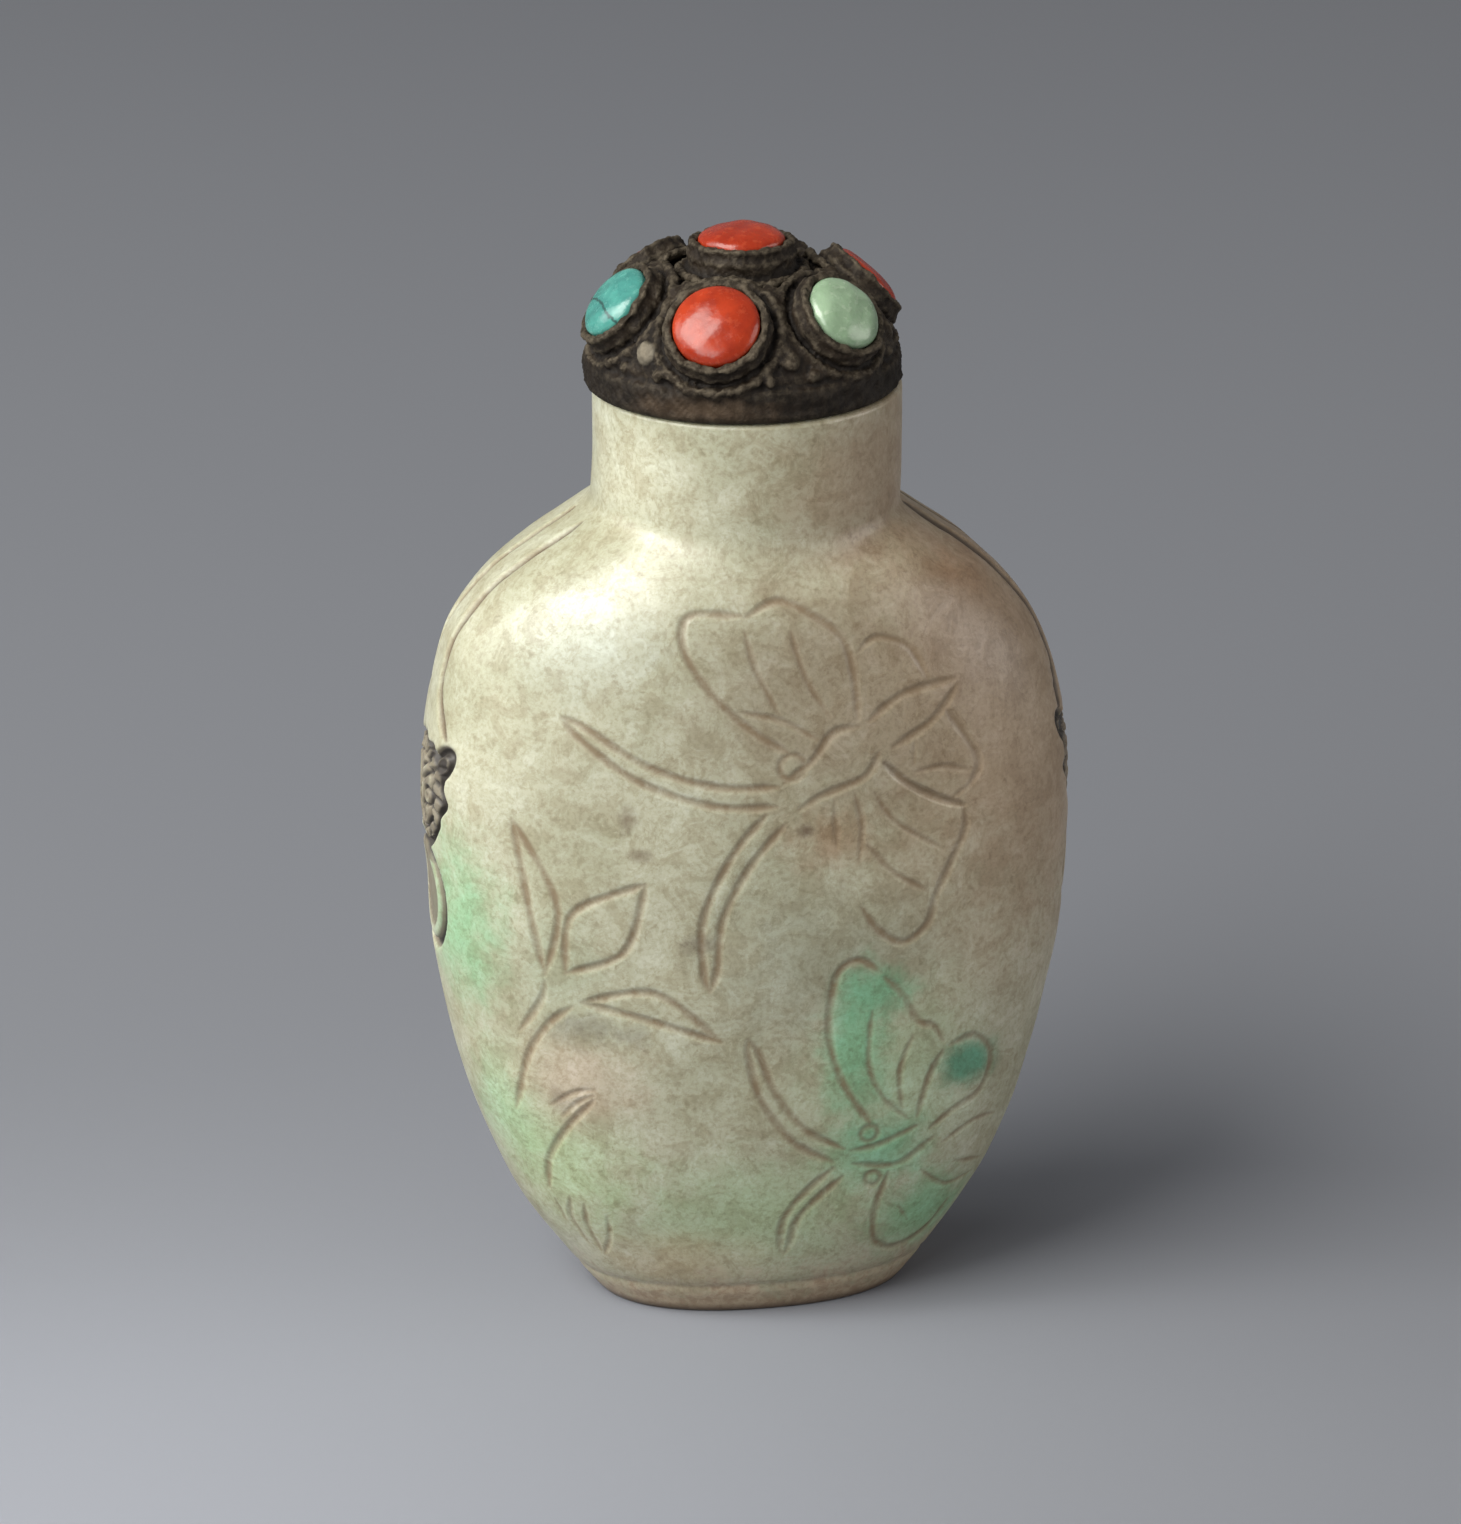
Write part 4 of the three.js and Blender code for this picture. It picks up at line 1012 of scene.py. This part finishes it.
for mask, tint in (
    (silver.span(dust, 0.48, 0.62, 0, 0.7), dust_brown),
    (silver.maths("MULTIPLY", worn, silver.span(dust, 0.4, 0.58, 0.25, 1.0)), worn_grey),
    (silver.maths("MAXIMUM", silver.maths("MULTIPLY", crust, 0.85), hollow), hollow_black),
    (band, band_black),
):
    colour = silver.blend(mask, colour, tint)

# Painted highlights on the side towards the light: a lighter brown patch low on the band at the left of the front,
# and one grain painted bright.
for centre, size, ragged, solid, tint, strength in (
    ((-4.5, -9.5, 65.4), (7.5, 6, 1.2), 1.1, 0.1, band_highlight_brown, 0.55),
    ((-7.7, -6.4, 68.6), (1.0, 1.0, 0.95), 0.3, 0.6, grain_highlight_grey, 0.7),
):
    patch = silver.effect(ragged_patch, centre=[c * mm for c in centre], size=[s * mm for s in size],
                          ragged=ragged, grain=900.0, solid=solid).outputs["Mask"]
    colour = silver.blend(silver.maths("MULTIPLY", patch, strength), colour, tint)
silver.feed(silver_surface.inputs["Base Color"], colour)
silver.feed(silver_surface.inputs["Metallic"], silver.span(worn, 0, 1, 0.12, 0.45))
silver.feed(silver_surface.inputs["Roughness"], silver.span(patina, 0.3, 0.7, 0.55, 0.75))
silver.feed(silver_surface.inputs["Normal"], silver.bump(pits, 0.05 * mm, 1.0, silver.bump(dust, 0.12 * mm)))
fused.materials.clear()
fused.materials.append(silver_finish)
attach(silver_cap, "root")
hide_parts("stopper_cap")


# ======================================================================== set stones
# Seven low cabochons, each ground by hand and held in its cup by the pushed-over lip: red coral on top, in
# front and at two places behind, turquoise at the left and the back, and pale green jade at the right.

stone_side_gap, stone_floor_gap, girdle_height, ground_edge = 0.03, 0.02, 0.75, 0.1
crack_dark = (0.02, 0.05, 0.045)


def cabochon(name, place, radius, seed, crown):
    """A domed stone, a little out of round, that fills its cup."""
    edge = radius - cup_wall - stone_side_gap
    floor = cup_height - cup_pocket + stone_floor_gap
    girdle = floor + girdle_height
    profile = [(0, floor), (edge - ground_edge, floor), (edge, floor + ground_edge), (edge, girdle)]
    for t in np.radians(np.arange(6, 88, 6)):
        profile.append((edge * math.cos(t), girdle + crown * math.sin(t)))
    profile.append((0, profile[-1][1] + 0.002))
    made = lathe(name, profile, 56)
    for vertex in made.data.vertices:
        x, y, z = vertex.co
        if z > girdle - 0.01:
            swell = (0.05 * math.sin(1.3 * x + seed) * math.cos(1.1 * y + 2 * seed)
                     + 0.025 * math.sin(2.9 * x - 2.2 * y + seed))
            vertex.co.z = z + swell * min(1.0, (z - girdle) / 0.4)
    made.data.transform(Matrix.Scale(mm, 4) @ place)
    made.data.shade_smooth()
    return made


# The clouds and fine veins in a gemstone: its colour, the clouds by themselves and the finest grain.
gem_veins, inside, given, result = shared_effect("gem_veins", [
    ("Scale", "NodeSocketFloat", 450.0), ("Light", "NodeSocketColor", (0.5, 0.5, 0.5, 1)),
    ("Deep", "NodeSocketColor", (0.3, 0.3, 0.3, 1)), ("Vein", "NodeSocketColor", (0.7, 0.7, 0.7, 1)),
], [("Colour", "NodeSocketColor"), ("Clouds", "NodeSocketFloat"), ("Fine Grain", "NodeSocketFloat")])
gem_place = inside.place()
gem_clouds = inside.noise(gem_place, given["Scale"], 6, 0.65, 0.3)
gem_grain = inside.noise(gem_place, inside.maths("MULTIPLY", given["Scale"], 4.2), 4, 0.6)
gem_body = inside.blend(inside.span(gem_clouds, 0.36, 0.66), given["Light"], given["Deep"])
inside.feed(result["Colour"], inside.blend(inside.span(gem_grain, 0.56, 0.72, 0, 0.45), gem_body, given["Vein"]))
inside.feed(result["Clouds"], gem_clouds)
inside.feed(result["Fine Grain"], gem_grain)


def stone_finish(name, light, deep, vein, scale, shader, crack=None):
    """The finish of one kind of stone. A crack is a dark line at a distance from a point."""
    material, recipe, surface = finish(name, shader)
    veins = recipe.effect(gem_veins, scale=scale, light=light, deep=deep, vein=vein).outputs
    colour, fine_grain = veins["Colour"], veins["Fine Grain"]
    if crack is not None:
        middle, distance = crack
        away = recipe.node("ShaderNodeVectorMath", {0: recipe.place(), 1: middle * mm}, operation="DISTANCE")
        wander = recipe.maths("MULTIPLY", veins["Clouds"], 0.9 * mm)
        away = recipe.maths("SUBTRACT", recipe.maths("ADD", away.outputs["Value"], wander), distance * mm)
        line = recipe.span(recipe.maths("ABSOLUTE", away), 0.13 * mm, 0.03 * mm, 0, 0.85)
        colour = recipe.blend(line, colour, crack_dark)
    recipe.feed(surface.inputs["Base Color"], colour)
    recipe.feed(surface.inputs["Roughness"], recipe.span(fine_grain, 0.3, 0.7, 0.17, 0.3))
    recipe.feed(surface.inputs["Normal"], recipe.bump(fine_grain, 0.03 * mm))
    return material


coral_finish = stone_finish("red_coral", (0.345, 0.034, 0.009), (0.23, 0.020, 0.007), (0.42, 0.07, 0.025), 420, {
    "Subsurface Weight": 0.15, "Subsurface Radius": (1.0, 0.3, 0.2), "Subsurface Scale": 0.6 * mm,
    "Specular IOR Level": 0.35, "Coat Weight": 0.06, "Coat Roughness": 0.1})
turquoise_finish = stone_finish("turquoise", (0.066, 0.265, 0.222), (0.04, 0.175, 0.155), (0.14, 0.36, 0.30), 520, {
    "Subsurface Weight": 0.05, "Subsurface Radius": (0.4, 1.0, 1.0), "Subsurface Scale": 0.3 * mm,
    "Coat Weight": 0.1, "Coat Roughness": 0.25},
    crack=(seat(first_stone + 5 * stone_turn) @ Vector((0, -4.2, 1.4)), 4.4))
green_finish = stone_finish("pale_green_jade", (0.265, 0.375, 0.245), (0.185, 0.27, 0.17), (0.42, 0.50, 0.37), 460, {
    "Subsurface Weight": 0.2, "Subsurface Radius": (0.6, 1.0, 0.6), "Subsurface Scale": 0.7 * mm,
    "Coat Weight": 0.2, "Coat Roughness": 0.18})

set_stones = [
    ("cabochon_front", coral_finish, "coral", seat(first_stone), front_cup_radius, 1.03),
    ("cabochon_right", green_finish, "green_jade", seat(first_stone + stone_turn), cup_radius, 1.0),
    ("cabochon_back_right", coral_finish, "coral", seat(first_stone + 2 * stone_turn), cup_radius, 0.62),
    ("cabochon_back", turquoise_finish, "turquoise", seat(first_stone + 3 * stone_turn), cup_radius, 0.9),
    ("cabochon_back_left", coral_finish, "coral", seat(first_stone + 4 * stone_turn), cup_radius, 0.62),
    ("cabochon_left", turquoise_finish, "turquoise", seat(first_stone + 5 * stone_turn), cup_radius, 0.95),
    ("cabochon_top", coral_finish, "coral", top_seat, top_cup_radius, 1.0),
]
for seed, (node, material, slot, place, radius, crown) in enumerate(set_stones):
    stone = cabochon(node.replace("cabochon", "stone"), place, radius, 1.7 * seed, crown)
    stone.data.materials.append(material)
    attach(stone, "root")
    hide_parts(node)


# ======================================================================== cork
# The short plug of bark that is glued under the cap and holds the stopper in the bore. It is hidden while
# the stopper is in, so the plain solid stays and gets the look of cork.

cork_finish, cork, cork_surface = finish("cork_bark", {"Specular IOR Level": 0.25})
cork_place = cork.place()
cells = cork.node("ShaderNodeTexVoronoi", {"Vector": cork_place, "Scale": 1900.0}).outputs["Distance"]
bark = cork.noise(cork_place, 600, 6, 0.7)
pores = cork.noise(cork_place, 1100, 3, 0.6, 1.2)
colour = cork.blend(cork.span(bark, 0.35, 0.65), (0.48, 0.30, 0.16), (0.34, 0.195, 0.10))
colour = cork.blend(cork.span(pores, 0.6, 0.72, 0, 0.8), colour, (0.12, 0.065, 0.035))
colour = cork.blend(cork.span(cells, 0.35, 0.0, 0, 0.3), colour, (0.22, 0.13, 0.07))
cork.feed(cork_surface.inputs["Base Color"], colour)
cork.feed(cork_surface.inputs["Roughness"], cork.span(bark, 0.3, 0.7, 0.78, 0.92))
cork.feed(cork_surface.inputs["Normal"], cork.bump(cells, 0.12 * mm))
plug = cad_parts["cork"]
plug.data.materials.clear()
plug.data.materials.append(cork_finish)


# ======================================================================== floor, light and camera
# A pale matt floor in a dim grey room. A broad soft light stands high at the left with a weaker one beside it.
# A white card at the right, a small low lamp by the foot and a faint pool on the floor lift the shadows.

bpy.context.scene.view_settings.view_transform = "Standard"
floor_mesh = bpy.data.meshes.new("studio_floor")
half_floor = 6.0
floor_mesh.from_pydata([(x * half_floor, y * half_floor, 0) for x, y in ((-1, -1), (1, -1), (1, 1), (-1, 1))], [],
                       [(0, 1, 2, 3)])
floor = bpy.data.objects.new("studio_floor", floor_mesh)
bpy.context.scene.collection.objects.link(floor)
floor_finish, paper, paper_surface = finish("pale_paper", {"Specular IOR Level": 0.2})
tone = paper.noise(paper.place(), 3.0, 3, 0.5)
paper.feed(paper_surface.inputs["Base Color"], paper.blend(tone, (0.168, 0.175, 0.196), (0.178, 0.184, 0.203)))
paper.feed(paper_surface.inputs["Roughness"], paper.span(tone, 0.2, 0.8, 0.8, 0.9))
floor_mesh.materials.append(floor_finish)


def towards(azimuth, elevation):
    """The way from the bottle to a stand: azimuth from the front towards the right, elevation from level."""
    turn, rise = math.radians(azimuth), math.radians(elevation)
    return Vector((math.sin(turn) * math.cos(rise), -math.cos(turn) * math.cos(rise), math.sin(rise)))


def stood(name, data, stand, aim, roll=0.0):
    """A lamp or camera on its stand, turned towards its aim."""
    made = bpy.data.objects.new(name, data)
    facing = (Vector(stand) - Vector(aim)).to_track_quat("Z", "Y").to_matrix().to_4x4()
    made.matrix_world = Matrix.Translation(stand) @ facing @ Matrix.Rotation(math.radians(roll), 4, "Z")
    bpy.context.scene.collection.objects.link(made)
    return made


# Azimuth, elevation, distance, width, power, tint and aim of each soft light.
bottle_middle, left_of_foot = Vector((0, 0, 0.035)), Vector((-0.025, -0.03, 0.004))
for name, azimuth, elevation, distance, width, power, tint, aim in (
    ("window_light", -64, 46, 0.85, 0.66, 11.3, (1.0, 0.99, 0.94), bottle_middle),
    ("side_light", -100, 24, 0.8, 0.5, 2.4, (0.97, 1.0, 0.97), bottle_middle),
    ("white_card", 72, 8, 0.9, 0.8, 4.2, (1.0, 0.97, 0.92), bottle_middle),
    ("low_lamp", -38, 32, 0.3, 0.16, 0.38, (1.0, 0.99, 0.96), left_of_foot),
):
    lamp = bpy.data.lights.new(name, "AREA")
    lamp.shape, lamp.size, lamp.energy, lamp.color = "DISK", width, power, tint
    stood(name, lamp, aim + towards(azimuth, elevation) * distance, aim)
pool = bpy.data.lights.new("floor_pool", "SPOT")
pool.energy, pool.spot_size, pool.spot_blend, pool.shadow_soft_size = 2.5, math.radians(32), 1.0, 0.03
stood("floor_pool", pool, (-0.17, -0.05, 0.22), (-0.055, -0.035, 0))

world = bpy.data.worlds.new("grey_room")
world.use_nodes = True
walls = world.node_tree.nodes["Background"].inputs
walls["Color"].default_value, walls["Strength"].default_value = (0.49, 0.49, 0.51, 1), 0.37
bpy.context.scene.world = world

# The camera stands a little to the left of the front and looks down at the middle of the bottle.
camera_aim, camera_distance = Vector((0, 0, 0.0361)), 0.437
lens = bpy.data.cameras.new("camera")
lens.sensor_width, lens.lens = 36.0, 152.13
lens.clip_start, lens.clip_end = 0.01, 50
lens.shift_x, lens.shift_y = -0.0097, 0.0121
bpy.context.scene.camera = stood(
    "camera", lens, camera_aim + towards(-9.5, 20.3) * camera_distance, camera_aim, roll=-0.4)
